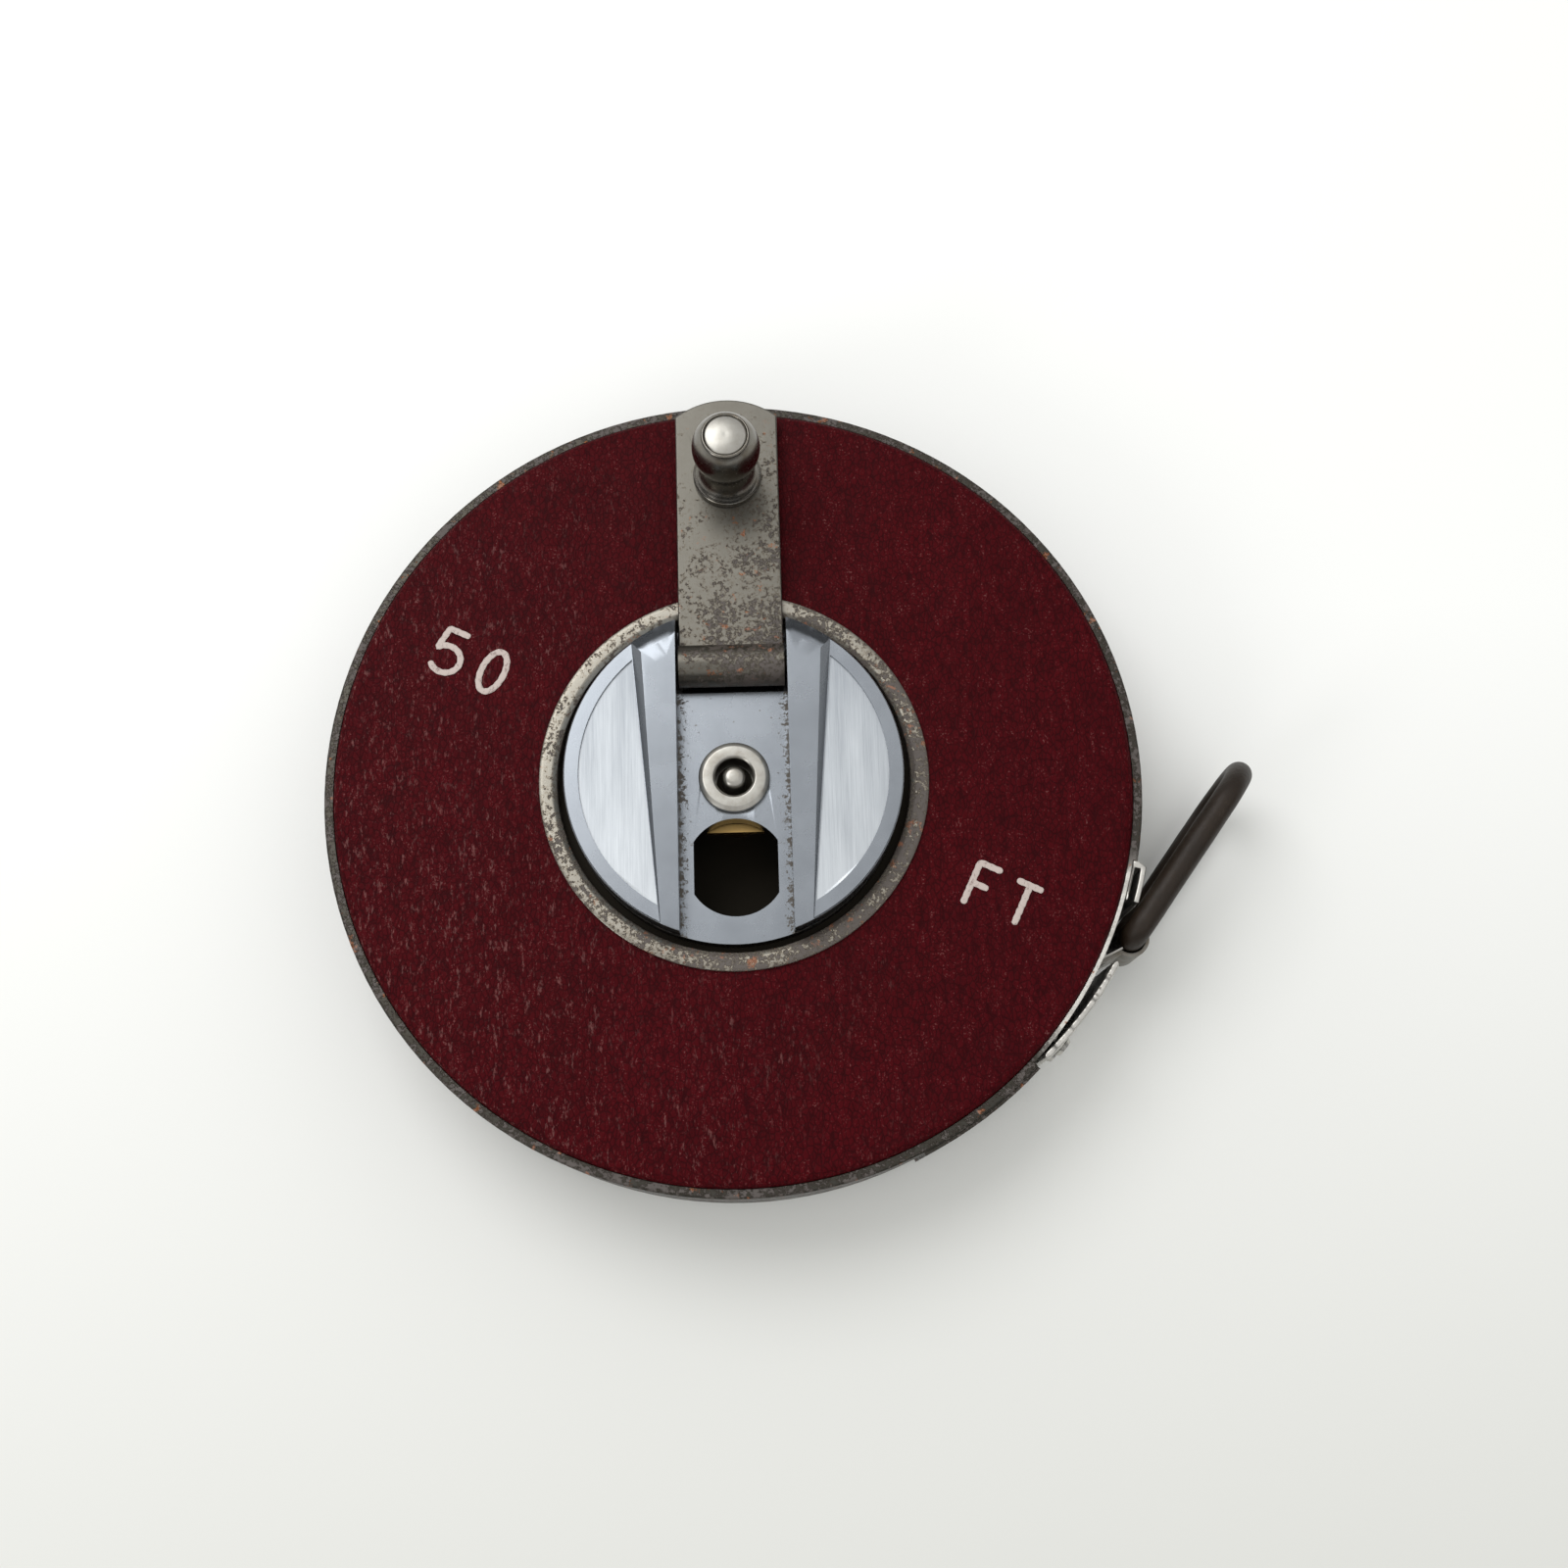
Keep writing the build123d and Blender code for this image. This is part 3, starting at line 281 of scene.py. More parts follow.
# ------------------------------------------------------------------ finishes
def leather_finish(looks):
    """Burgundy calf: an even colour with painted shade in its creases, fine pebbled grain, painted highlight
    flecks on the grain and a painted sheen on the side toward the low lamp.
    """
    skin = Finish("burgundy_leather", IOR=1.45)
    skin.shader.inputs["Specular IOR Level"].default_value = 0.06
    pebbles = skin.cells(0.5, stretch=(1, 1.7, 1)).above(0.0, 0.16)
    creases = skin.noise(0.9, 5.0, 0.62, stretch=(1, 2.6, 1), turn=8)
    fine = skin.noise(0.22, 3.0, 0.6, shift=9)
    clouds = skin.noise(11.0, 4.0, 0.6, shift=5)
    ridge = (0.55 * creases + 0.25 * fine + 0.2 * pebbles)
    # low_side: the side toward the low lamp, lower left, where the next lines put a painted sheen.
    low_side = (clouds - 0.009 * skin.axis("X") - 0.004 * skin.axis("Y")).above(0.46, 0.35)
    # flecks: painted highlights on the pebbles' tops.
    flecks = (0.6 * fine + 0.4 * creases).above(0.585, 0.05) * pebbles
    lit_side_sheen = skin.noise(0.42, 5.0, 0.7, stretch=(1, 3.0, 1), turn=10, shift=77)
    lit_side_sheen = lit_side_sheen.above(0.57, 0.10) * low_side
    # Darker where the grain lies low: painted shade in the creases.
    shade_and_highlight_colour = skin.mix(ridge.above(0.38, 0.25), looks.leather_dark, looks.leather_light)
    shade_and_highlight_colour = skin.mix(clouds.above(0.35, 0.3) * 0.3, shade_and_highlight_colour, looks.leather_dark)
    # Painted highlights on the grain and painted sheen on the side toward the low lamp.
    shade_and_highlight_colour = skin.mix(flecks * 0.35 + lit_side_sheen * 0.42, shade_and_highlight_colour, looks.leather_highlight)
    normal = skin.bump(ridge, looks.leather_grain_depth)
    return skin.feed(Base_Color=shade_and_highlight_colour, Roughness=0.42 + 0.2 * creases, Normal=normal)


def foil_finish(looks):
    """Silver-cream foil, worn through to the leather in small flecks."""
    foil = Finish("stamped_foil")
    worn = foil.noise(0.45, 5.0, 0.7, stretch=(1, 1.6, 1)).above(0.56, 0.1)
    colour = foil.mix(worn * 0.55, looks.foil, looks.foil_worn)
    return foil.feed(Base_Color=colour, Roughness=0.55 + 0.2 * worn, Normal=foil.bump(worn, -0.03))


def mottled_nickel(name, looks, amount, bright=1.0, turn=0.0, lean=(0.0, 0.0), polished=False):
    """Old nickel plating: grey-beige metal with brown rust that spreads from pits and edges."""
    metal = Finish(name, IOR=2.2)
    clouds = metal.noise(3.2, 6.0, 0.66, shift=3)
    pits = metal.noise(0.55, 6.0, 0.72, shift=17)
    specks = metal.noise(0.16, 3.0, 0.6, shift=41)
    field = 0.32 * clouds + 0.54 * pits + 0.14 * specks
    # lean tilts the field: with the given signs the plate turns darker, in rust colour, towards +X and -Y.
    field = field + lean[0] * metal.axis("X") + lean[1] * metal.axis("Y")
    rust = field.above(0.585 - amount, 0.035)
    stain = field.above(0.535 - amount, 0.06)
    orange = metal.noise(1.4, 4.0, 0.6, shift=91).above(0.62, 0.05) * stain
    tones = (looks.nickel_dark, looks.nickel_light, looks.nickel_stain)
    # bright scales the three tones; the rim band's 0.20 is painted shade.
    dark, light, stained = (tuple(c * bright for c in tone) for tone in tones)
    plate = metal.mix(clouds, dark, light)
    if polished:  # the part of the rim that frames the mouth is rubbed bright by the tape
        x, y = metal.axis("X"), metal.axis("Y")
        mouth = x.above(32.0, 3.0) * y.above(-33.0, 2.0) * y.below(-9.0, 3.0)
        plate = metal.mix(mouth * 0.9, plate, looks.bright_light)
        rust = rust * (1.0 - 0.8 * mouth)
        stain = stain * (1.0 - 0.7 * mouth)
    plate = metal.mix(stain * 0.55, plate, stained)
    plate = metal.mix(rust * 0.9, plate, looks.rust_dark)
    plate = metal.mix(orange * 0.7, plate, looks.rust_light)
    hairlines = metal.noise(0.12, 2.0, 0.5, stretch=(1, 14, 1), turn=turn, shift=8)
    normal = metal.bump(0.6 * hairlines + specks * 0.4, 0.006, metal.bump(rust, -0.03))
    return metal.feed(
        Base_Color=plate,
        Metallic=1.0 - 0.75 * rust,
        Roughness=0.30 + 0.14 * clouds + 0.3 * rust,
        Normal=normal,
    )


def disc_finish(looks):
    """Chromed disc: smooth bars, streaky brushed panels lightened by a painted sheen, a spotted, grimy channel
    floor and painted shade in the hollow below that floor.
    """
    chrome = Finish("chromed_disc")
    x, y, z = (chrome.axis(letter) for letter in "XYZ")
    floor = z.below(looks.channel_floor + 0.3, 0.1)
    wall = abs(x).above(looks.channel_half - 1.5, 1.5)
    panel_level = looks.wing_rim - looks.panel_depth
    panel = z.above(panel_level - 0.04, 0.02) * z.below(panel_level + 0.06, 0.02)
    brush = chrome.noise(0.12, 3.0, 0.65, stretch=(1, 60, 1), turn=2)
    swipes = chrome.noise(1.6, 3.0, 0.6, stretch=(1, 9, 1), turn=3, shift=13)
    grime = (chrome.noise(0.5, 6.0, 0.7, shift=6) + wall * 0.22).above(0.66, 0.07) * floor
    spots = chrome.noise(0.9, 2.0, 0.5, shift=55).above(0.715, 0.03) * floor
    haze = chrome.noise(5.0, 4.0, 0.6, shift=2)
    colour = chrome.mix(haze, looks.chrome_dark, looks.chrome_light)
    # Brushed streaks, plus a painted sheen that lightens the panels and grows towards -Y.
    brush_streaks_and_sheen = (0.9 * (brush + swipes) - 0.4 - 0.025 * y).above(0.1, 0.8)
    colour = chrome.mix(panel * (0.25 + 0.75 * brush_streaks_and_sheen), colour, looks.chrome_panel_sheen)
    colour = chrome.mix((grime * 0.85 + spots * 0.6).maths("ADD", 0.0, clamp=True), colour, looks.grime)
    # Below the channel floor: painted shade in the hollow.
    painted_hollow = z.below(looks.channel_floor - 0.12, 0.5)
    colour = chrome.mix(painted_hollow * 0.9, colour, looks.hollow_shade)
    normal = chrome.bump(brush * (0.15 + 0.85 * panel), 0.010)
    return chrome.feed(
        Base_Color=colour,
        Metallic=1.0 - 0.8 * grime,
        Roughness=0.22 + 0.16 * panel + 0.1 * haze + 0.35 * grime,
        Normal=normal,
    )


def turned_steel(name, looks, tone, roughness, tarnish):
    """Turned and polished steel with a thin brown tarnish in patches."""
    steel = Finish(name)
    film = steel.noise(1.6, 5.0, 0.65, shift=21)
    flecks = steel.noise(0.3, 4.0, 0.7, shift=60).above(0.64, 0.08)
    colour = steel.mix(film.above(0.42, 0.3) * tarnish, tone, looks.tarnish)
    colour = steel.mix(flecks * tarnish * 0.8, colour, looks.rust_dark)
    rough = roughness + 0.1 * film + 0.2 * flecks * tarnish
    return steel.feed(Base_Color=colour, Roughness=rough, Metallic=1.0 - 0.5 * tarnish * flecks)


def browned_finish(looks):
    """Dark browned ring metal: smooth, slightly glossy, with rubbed and ruddy patches."""
    brown = Finish("browned_ring", IOR=1.5)
    brown.shader.inputs["Specular IOR Level"].default_value = 0.30
    patches = brown.noise(2.6, 5.0, 0.6, shift=12)
    specks = brown.noise(0.35, 5.0, 0.7, shift=29)
    rubbed = (0.6 * patches + 0.4 * specks).above(0.60, 0.12)
    colour = brown.mix(patches, looks.ring_dark, looks.ring_brown)
    colour = brown.mix(rubbed * 0.6, colour, looks.ring_rubbed)
    normal = brown.bump(specks, 0.03, brown.bump(patches, 0.12))
    return brown.feed(
        Base_Color=colour, Roughness=0.34 + 0.25 * specks, Metallic=0.1 + 0.5 * rubbed, Normal=normal
    )


def rubbed_nickel(name, looks, dirt):
    """Bright rubbed nickel with dark dirt in its hollows and scratches."""
    metal = Finish(name)
    clouds = metal.noise(1.8, 5.0, 0.65, shift=44)
    spots = metal.noise(0.5, 5.0, 0.7, shift=71)
    soiled = (0.5 * clouds + 0.5 * spots).above(0.60 - dirt, 0.08)
    colour = metal.mix(clouds, looks.bright_dark, looks.bright_light)
    colour = metal.mix(soiled * 0.75, colour, looks.rust_dark)
    normal = metal.bump(spots, 0.008)
    rough = 0.26 + 0.2 * clouds + 0.3 * soiled
    return metal.feed(Base_Color=colour, Roughness=rough, Metallic=1.0 - 0.6 * soiled, Normal=normal)


def plain_metal(name, colour, roughness):
    """Metal inside the case: even colour with a faint drawn texture."""
    metal = Finish(name, Metallic=1.0)
    drawn = metal.noise(0.3, 3.0, 0.6, stretch=(1, 1, 8))
    shade = metal.mix(drawn, tuple(c * 0.8 for c in colour), colour)
    return metal.feed(Base_Color=shade, Roughness=roughness + 0.15 * drawn)


# ------------------------------------------------------------------ surfaces
def grid_faces(rows, columns, wrap_rows, wrap_columns):
    """Quads between neighbours of a grid of points, joined end to end where it wraps."""
    row = np.arange(rows if wrap_rows else rows - 1)[:, None]
    column = np.arange(columns if wrap_columns else columns - 1)[None, :]
    next_row, next_column = (row + 1) % rows, (column + 1) % columns
    corners = (
        row * columns + column,
        row * columns + next_column,
        next_row * columns + next_column,
        next_row * columns + column,
    )
    return np.stack([c.ravel() for c in corners], axis=1)


def make_piece(name, points, faces, smooth=True):
    """Make one mesh object at the origin from points in millimetres and faces of equal corners."""
    mesh = bpy.data.meshes.new(name)
    mesh.vertices.add(len(points))
    mesh.vertices.foreach_set("co", (np.asarray(points, float) * MM).ravel())
    corners = faces.shape[1]
    mesh.loops.add(faces.size)
    mesh.loops.foreach_set("vertex_index", faces.ravel().astype(np.int32))
    mesh.polygons.add(len(faces))
    mesh.polygons.foreach_set("loop_start", np.arange(0, faces.size, corners, dtype=np.int32))
    mesh.polygons.foreach_set("loop_total", np.full(len(faces), corners, np.int32))
    mesh.polygons.foreach_set("use_smooth", np.full(len(faces), smooth))
    mesh.update(calc_edges=True)
    weld(mesh)
    piece = bpy.data.objects.new(name, mesh)
    bpy.context.scene.collection.objects.link(piece)
    return piece


def weld(mesh):
    """Join points that lie on one another, which closes poles and seams."""
    build = bmesh.new()
    build.from_mesh(mesh)
    bmesh.ops.remove_doubles(build, verts=build.verts, dist=WELD)
    build.to_mesh(mesh)
    build.free()
    mesh.validate()


def finish_piece(piece, material, slot, body, *replaced):
    """Give a new piece its material and body, and hide the nodes that it stands for. The slot argument is not
    used.
    """
    piece.data.materials.clear()
    piece.data.materials.append(material)
    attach(piece, body)
    if replaced:
        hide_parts(*replaced)
    return piece


def coat(node, material):
    """Give a node that keeps its shape a better material."""
    for holder in frame["nodes"][node].material_slots:
        holder.material = material


def wrinkles(x, y, waves, longest, shortest, lean, seed):
    """Sum of sine waves whose lengths run from longest to shortest and whose crests lie near +Y,
    within lean degrees; each wave has a seeded direction and phase, and the sum is about -1 to 1."""
    draw = np.random.default_rng(seed)
    length = longest * (shortest / longest) ** draw.random(waves)
    direction = np.radians(draw.normal(0.0, lean, waves))
    phase = draw.random(waves) * 2 * math.pi
    reach = 2 * math.pi / length
    total = np.zeros_like(x)
    for k, a, p, size in zip(reach, direction, phase, length / longest):
        total += size**0.6 * np.sin(k * (x * math.cos(a) + y * math.sin(a)) + p)
    return total / math.sqrt(waves)


def leather_relief(x, y):
    """Depth of the leather's puckers under its face, in millimetres: long ridges, sharpened where they
    crest, none of them higher than the face."""
    broad = wrinkles(x, y, 14, 16.0, 5.0, 45.0, 3)
    fine = wrinkles(x, y, 40, 3.2, 1.1, 22.0, 8)
    return np.minimum(0.045 * broad - 0.022 * np.abs(fine) - 0.06, 0.0)


def leather_disc(name, hole, bottom, top, outward, rings, segments, relief):
    """A leather disc: r runs from the hole to the rim and back underneath, t goes once round.
    The upper face is raised by leather_relief, which fades out at the hole and the rounded rim."""
    rounding = 1.0
    across = np.linspace(hole, LEATHER_RADIUS - rounding, rings)
    turn = np.linspace(0, math.pi / 2, 8)[1:]
    edge = LEATHER_RADIUS - rounding + rounding * np.sin(turn)
    radius = np.concatenate([[hole], across, edge, [LEATHER_RADIUS, hole]])
    edge_drop = rounding - rounding * np.cos(turn)
    drop = np.concatenate([[LEATHER_THICK], np.zeros(rings), edge_drop, [LEATHER_THICK] * 2])
    angle = np.linspace(0, 2 * math.pi, segments, endpoint=False)
    r, t = np.meshgrid(radius, angle, indexing="ij")
    d = np.repeat(drop[:, None], segments, axis=1)
    x, y = r * np.cos(t), r * np.sin(t)
    fade = np.clip((LEATHER_RADIUS - r) / 1.5, 0, 1) * (d < rounding * 0.6)
    fade = fade * np.clip((r - hole) / 1.0, 0, 1)
    height = relief * leather_relief(x, y) * fade - d
    z = (top + height) if outward > 0 else (bottom - height)
    points = np.stack([x, y, z], axis=2).reshape(-1, 3)
    faces = grid_faces(len(radius), segments, True, True)
    return make_piece(name, points, faces if outward < 0 else faces[:, ::-1])


def tube_points(path, radius, sides, closed, up=(0, 0, 1)):
    """Points of a round tube along a path: at each point the circle stands square to the path,
    with one spoke square to the up direction. Radius is one number or one for each point."""
    ahead = np.roll(path, -1, axis=0) - np.roll(path, 1, axis=0)
    if not closed:
        ahead[0], ahead[-1] = path[1] - path[0], path[-1] - path[-2]
    ahead /= np.linalg.norm(ahead, axis=1)[:, None]
    side = np.cross(ahead, up)
    side /= np.linalg.norm(side, axis=1)[:, None]
    over = np.cross(side, ahead)
    t = np.linspace(0, 2 * math.pi, sides, endpoint=False)[None, :, None]
    size = np.broadcast_to(radius, len(path))[:, None, None]
    return path[:, None] + size * (np.cos(t) * side[:, None] + np.sin(t) * over[:, None])


def lathe(name, profile, centre_y=0.0, segments=160, dent=None):
    """A turned piece: the profile's (radius, height) loop goes once round the axis at centre_y.
    A dent is a function of the angle that is added to the heights above the lowest point."""
    radius, height = np.asarray(profile, float).T
    angle = np.linspace(0, 2 * math.pi, segments, endpoint=False)
    r, t = np.meshgrid(radius, angle, indexing="ij")
    z = np.repeat(height[:, None], segments, axis=1)
    if dent is not None:
        z = z + dent(t) * (z - height.min()) / np.ptp(height)
    points = np.stack([r * np.cos(t), centre_y + r * np.sin(t), z], axis=2).reshape(-1, 3)
    return make_piece(name, points, grid_faces(len(radius), segments, True, True))


def rounded(corners, radius, steps=5, closed=True):
    """A polyline with each corner replaced by a parabola that starts and ends radius away from it."""
    corners = np.asarray(corners, float)
    if not closed:
        inner = rounded_middle(corners, radius, steps)
        return np.concatenate([corners[:1], inner, corners[-1:]])
    looped = np.concatenate([corners[-1:], corners, corners[:1]])
    return rounded_middle(looped, radius, steps)


def rounded_middle(corners, radius, steps):
    """Parabolas at every corner but the first and the last; none is longer than a third of its side."""
    s = np.linspace(0, 1, steps)[:, None]
    parts = []
    for before, corner, after in zip(corners, corners[1:], corners[2:]):
        back, ahead = before - corner, after - corner
        reach_back, reach_ahead = np.linalg.norm(back), np.linalg.norm(ahead)
        start = corner + back / reach_back * min(radius, reach_back / 3)
        end = corner + ahead / reach_ahead * min(radius, reach_ahead / 3)
        parts.append((1 - s) ** 2 * start + 2 * s * (1 - s) * corner + s**2 * end)
    return np.concatenate(parts)


def arc_through(first, middle, last, steps):
    """Points on the circle through three points of a plane, from the first to the last."""
    (ax, ay), (bx, by), (cx, cy) = first, middle, last
    d = 2 * (ax * (by - cy) + bx * (cy - ay) + cx * (ay - by))
    a, b, c = ax**2 + ay**2, bx**2 + by**2, cx**2 + cy**2
    x = (a * (by - cy) + b * (cy - ay) + c * (ay - by)) / d
    y = (a * (cx - bx) + b * (ax - cx) + c * (bx - ax)) / d
    start, end = math.atan2(ay - y, ax - x), math.atan2(cy - y, cx - x)
    turn = (end - start + math.pi) % (2 * math.pi) - math.pi
    angle = start + turn * np.linspace(0, 1, steps)
    r = math.hypot(ax - x, ay - y)
    return np.stack([x + r * np.cos(angle), y + r * np.sin(angle)], axis=1)


def evenly(path, step, closed=False):
    """The same path with points about one step apart."""
    if closed:
        path = np.concatenate([path, path[:1]])
    along = np.concatenate([[0], np.cumsum(np.linalg.norm(np.diff(path, axis=0), axis=1))])
    count = max(int(along[-1] / step), 4) + 1
    wanted = np.linspace(0, along[-1], count)
    made = np.stack([np.interp(wanted, along, column) for column in path.T], axis=1)
    return made[:-1] if closed else made


def softened(node, name, material, slot, width, segments=3):
    """A copy of a node's own mesh with its seams joined and its sharp edges worn round."""
    original = frame["nodes"][node]
    mesh = original.data.copy()
    mesh.name = name
    weld(mesh)
    for polygon in mesh.polygons:
        polygon.use_smooth = True
    piece = bpy.data.objects.new(name, mesh)
    bpy.context.scene.collection.objects.link(piece)
    bevel = piece.modifiers.new("worn_edges", "BEVEL")
    bevel.width = width * MM
    bevel.segments = segments
    bevel.limit_method = "ANGLE"
    bevel.angle_limit = math.radians(32)
    bevel.use_clamp_overlap = True
    even = piece.modifiers.new("even_shading", "WEIGHTED_NORMAL")
    even.mode = "FACE_AREA"
    even.weight = 100
    return finish_piece(piece, material, slot, original["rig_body"], node)


# ------------------------------------------------------------------ marks stamped in the leather
MARK_TURN = math.radians(-26)
STROKE_HALF = 0.37
STROKE_STEP = 0.09
STROKE_RISE = 0.14  # as a share of the half width
STROKE_SIDES = 12


def glyph(name, along, strokes, material):
    """A stamped figure. Each stroke is a path across and up the figure, swept with a flat half
    ellipse whose width closes to a round end; a closed stroke joins its own start."""
    across = np.array([math.cos(MARK_TURN), math.sin(MARK_TURN)])
    upwards = np.array([-across[1], across[0]])
    points, faces, made = [], [], 0
    for path, closed in strokes:
        path = evenly(np.asarray(path, float), STROKE_STEP, closed)
        place = (along + path[:, :1]) * across + path[:, 1:] * upwards
        place = np.concatenate([place, np.full((len(place), 1), FACE)], axis=1)
        gone = np.linspace(0, 1, len(path)) * len(path) * STROKE_STEP
        left = gone[-1] - gone
        end = np.clip(np.minimum(gone, left) / STROKE_HALF, 0, 1)
        taper = 1.0 if closed else np.sqrt(1 - (1 - end) ** 2)
        width = STROKE_HALF * taper * (1 + 0.06 * np.sin(7.3 * gone + along))
        ring = tube_points(place, np.broadcast_to(width, len(path)), STROKE_SIDES, closed)
        ring[:, :, 2] = FACE + (ring[:, :, 2] - FACE) * STROKE_RISE
        points.append(ring.reshape(-1, 3))
        faces.append(grid_faces(len(path), STROKE_SIDES, closed, True) + made)
        made += len(path) * STROKE_SIDES
    piece = make_piece(name, np.concatenate(points), np.concatenate(faces))
    return finish_piece(piece, material, "leather", "case")


def strokes_of_marks():
    """Paths of the figures 5 and 0 and the letters F and T, in millimetres across and up."""
    bowl = np.radians(np.linspace(142, -148, 40))
    five = [(1.45, 2.65), (-1.15, 2.65), (-1.42, 0.35)]
    bowl = np.stack([1.75 * np.cos(bowl), 1.62 * np.sin(bowl) - 0.88], 1)
    five = np.concatenate([rounded(five, 0.3, closed=False), bowl])
    turn = np.linspace(0, 2 * math.pi, 72, endpoint=False)
    nought = np.stack([1.3 * np.cos(turn), 2.52 * np.sin(turn)], 1)
    letter_f = rounded([(-1.25, -2.6), (-1.25, 2.55), (1.45, 2.55)], 0.3, closed=False)
    return {
        "mark_five": (-35.9, [(five, False)]),
        "mark_nought": (-30.3, [(nought, True)]),
        "mark_f": (30.2, [(letter_f, False), ([(-1.25, 0.1), (0.75, 0.1)], False)]),
        "mark_t": (35.0, [([(-1.6, 2.4), (1.6, 2.4)], False), ([(0, 2.4), (0, -2.45)], False)]),
    }


# ------------------------------------------------------------------ settings
def colour(label, value):
    """A colour setting, as linear red, green and blue."""
    note = f"{label}, linear"
    return FloatVectorProperty(
        name=label, description=note, subtype="COLOR", size=3, min=0.0, max=1.0, default=value
    )


def length(label, value):
    """A length setting, in millimetres."""
    return FloatProperty(name=label, description=f"{label}, in millimetres", default=value)


class TapeReelLooks(PropertyGroup):
    """Colours and small sizes that the reel's finishes share."""

    leather_dark: colour("Leather, dark", (0.026, 0.0004, 0.0016))
    leather_light: colour("Leather, light", (0.064, 0.0014, 0.0038))
    # Colour of the leather's painted highlights and sheen.
    leather_highlight: colour("Leather, rubbed", (0.26, 0.12, 0.115))
    leather_grain_depth: length("Leather grain depth", 0.10)
    foil: colour("Foil", (0.50, 0.42, 0.39))
    foil_worn: colour("Foil, worn", (0.16, 0.07, 0.07))
    nickel_light: colour("Nickel, light", (0.34, 0.325, 0.285))
    nickel_dark: colour("Nickel, dark", (0.20, 0.185, 0.155))
    nickel_stain: colour("Nickel, stained", (0.15, 0.105, 0.06))
    rust_dark: colour("Rust, dark", (0.030, 0.014, 0.006))
    rust_light: colour("Rust, fresh", (0.33, 0.10, 0.025))
    chrome_light: colour("Chrome, light", (0.265, 0.285, 0.31))
    chrome_dark: colour("Chrome, dark", (0.20, 0.217, 0.238))
    # Painted sheen colour of the brushed panels.
    chrome_panel_sheen: colour("Chrome, brushed", (0.46, 0.485, 0.505))
    grime: colour("Grime", (0.075, 0.055, 0.035))
    # Painted shade for the hollow below the channel floor.
    hollow_shade: colour("Dark hollow", (0.010, 0.009, 0.008))
    tarnish: colour("Tarnish", (0.12, 0.095, 0.065))
    steel_light: colour("Steel, light", (0.36, 0.35, 0.32))
    steel_dark: colour("Steel, dark", (0.19, 0.18, 0.16))
    inside_dark: colour("Inside, dark", (0.030, 0.026, 0.020))
    bright_light: colour("Rubbed nickel, light", (0.72, 0.70, 0.65))
    bright_dark: colour("Rubbed nickel, dark", (0.30, 0.29, 0.27))
    ring_dark: colour("Ring, dark", (0.009, 0.006, 0.004))
    ring_brown: colour("Ring, brown", (0.026, 0.015, 0.008))
    ring_rubbed: colour("Ring, rubbed", (0.14, 0.12, 0.10))
    channel_floor: length("Channel floor height", 16.4)
    channel_half: length("Channel half width", 6.25)
    wing_rim: length("Wing rim height", 20.0)
    panel_depth: length("Panel depth", 0.25)
    floor_white: FloatProperty(name="Floor brightness", description="Paleness of the floor", default=0.93)


# ------------------------------------------------------------------ mouth and ring
def mouth_wall():
    """The mouth's outer wall: a flat rounded loop, a superellipse across its thickness and depth, goes
    round the case between two angles. Its line runs outwards, its front and rear edges wander and its
    skin is dinted; the loop thins to nothing at both ends, which closes it."""
    low, high = node_box("mouth_plate")
    angle = np.linspace(MOUTH_START, MOUTH_WALL_END, 90)
    turn = np.linspace(0, 2 * math.pi, 96, endpoint=False)
    a, t = np.meshgrid(angle, turn, indexing="ij")
    share = (a - MOUTH_START) / (MOUTH_WALL_END - MOUTH_START)
    inner = MOUTH_INNER + MOUTH_FLARE * share
    along = np.radians(a) * MOUTH_INNER
    gone = np.minimum(along - along.min(), along.max() - along)
    end = np.sqrt(1 - (1 - np.clip(gone / 0.5, 0, 1)) ** 2)
    edge = 0.12 * (1 + np.sin(1.9 * along + 1.0)) + 0.08 * (1 + np.sin(4.7 * along))
    half_depth = (high[2] - low[2]) / 2 - edge * (np.sin(t) > 0)
    across = np.sign(np.cos(t)) * np.abs(np.cos(t)) ** 0.35
    depth = np.sign(np.sin(t)) * np.abs(np.sin(t)) ** 0.25
    dints = 0.04 * wrinkles(along, depth * half_depth, 16, 6.0, 2.4, 60.0, 21) * (across > 0)
    radius = inner + MOUTH_THICK / 2 + (MOUTH_THICK / 2 - 0.04) * across * end + dints * end
    z = (high[2] + low[2]) / 2 + depth * half_depth
    points = np.stack([radius * np.cos(np.radians(a)), radius * np.sin(np.radians(a)), z], axis=2)
    return make_piece("mouth_wall", points.reshape(-1, 3), grid_faces(len(angle), len(turn), False, True))


def pull_ring():
    """The pull ring: round wire along a closed path of a crossbar, two sides and a half circle at the
    tip, in the plane that holds the reel's axis direction. Its thickness swells and thins slightly."""
    ahead = np.array([math.cos(RING_TURN), math.sin(RING_TURN), 0.0])
    level = (RING_LOW[2] + RING_HIGH[2]) / 2
    half = (RING_HIGH[2] - RING_LOW[2]) / 2 - RING_WIRE
    straight = RING_LENGTH - RING_WIRE - half
    bend = np.radians(np.linspace(90, -90, 40))
    tip = np.stack([straight + half * np.cos(bend), half * np.sin(bend)], 1)
    corners = np.radians(np.linspace(0, 90, 12))
    bend_ahead, bend_down = RING_BEND * (1 - np.sin(corners)), RING_BEND * np.cos(corners)
    lower = np.stack([bend_ahead, -(half - RING_BEND) - bend_down], 1)
    upper = lower[::-1] * (1, -1)
    path = evenly(np.concatenate([upper, tip, lower]), 0.35, True)
    start = np.array([CROSSBAR[0], CROSSBAR[1], level])
    place = start + path[:, :1] * ahead + path[:, 1:] * np.array([0, 0, 1.0])
    gone = np.linspace(0, 2 * math.pi, len(path), endpoint=False)
    size = RING_WIRE * (0.99 + 0.006 * np.sin(5 * gone) + 0.004 * np.sin(13 * gone + 1))
    flat = (math.sin(RING_TURN), -math.cos(RING_TURN), 0.0)
    points = tube_points(place, size, RING_SIDES, True, up=flat).reshape(-1, 3)
    return make_piece("pull_ring", points, grid_faces(len(path), RING_SIDES, True, True))


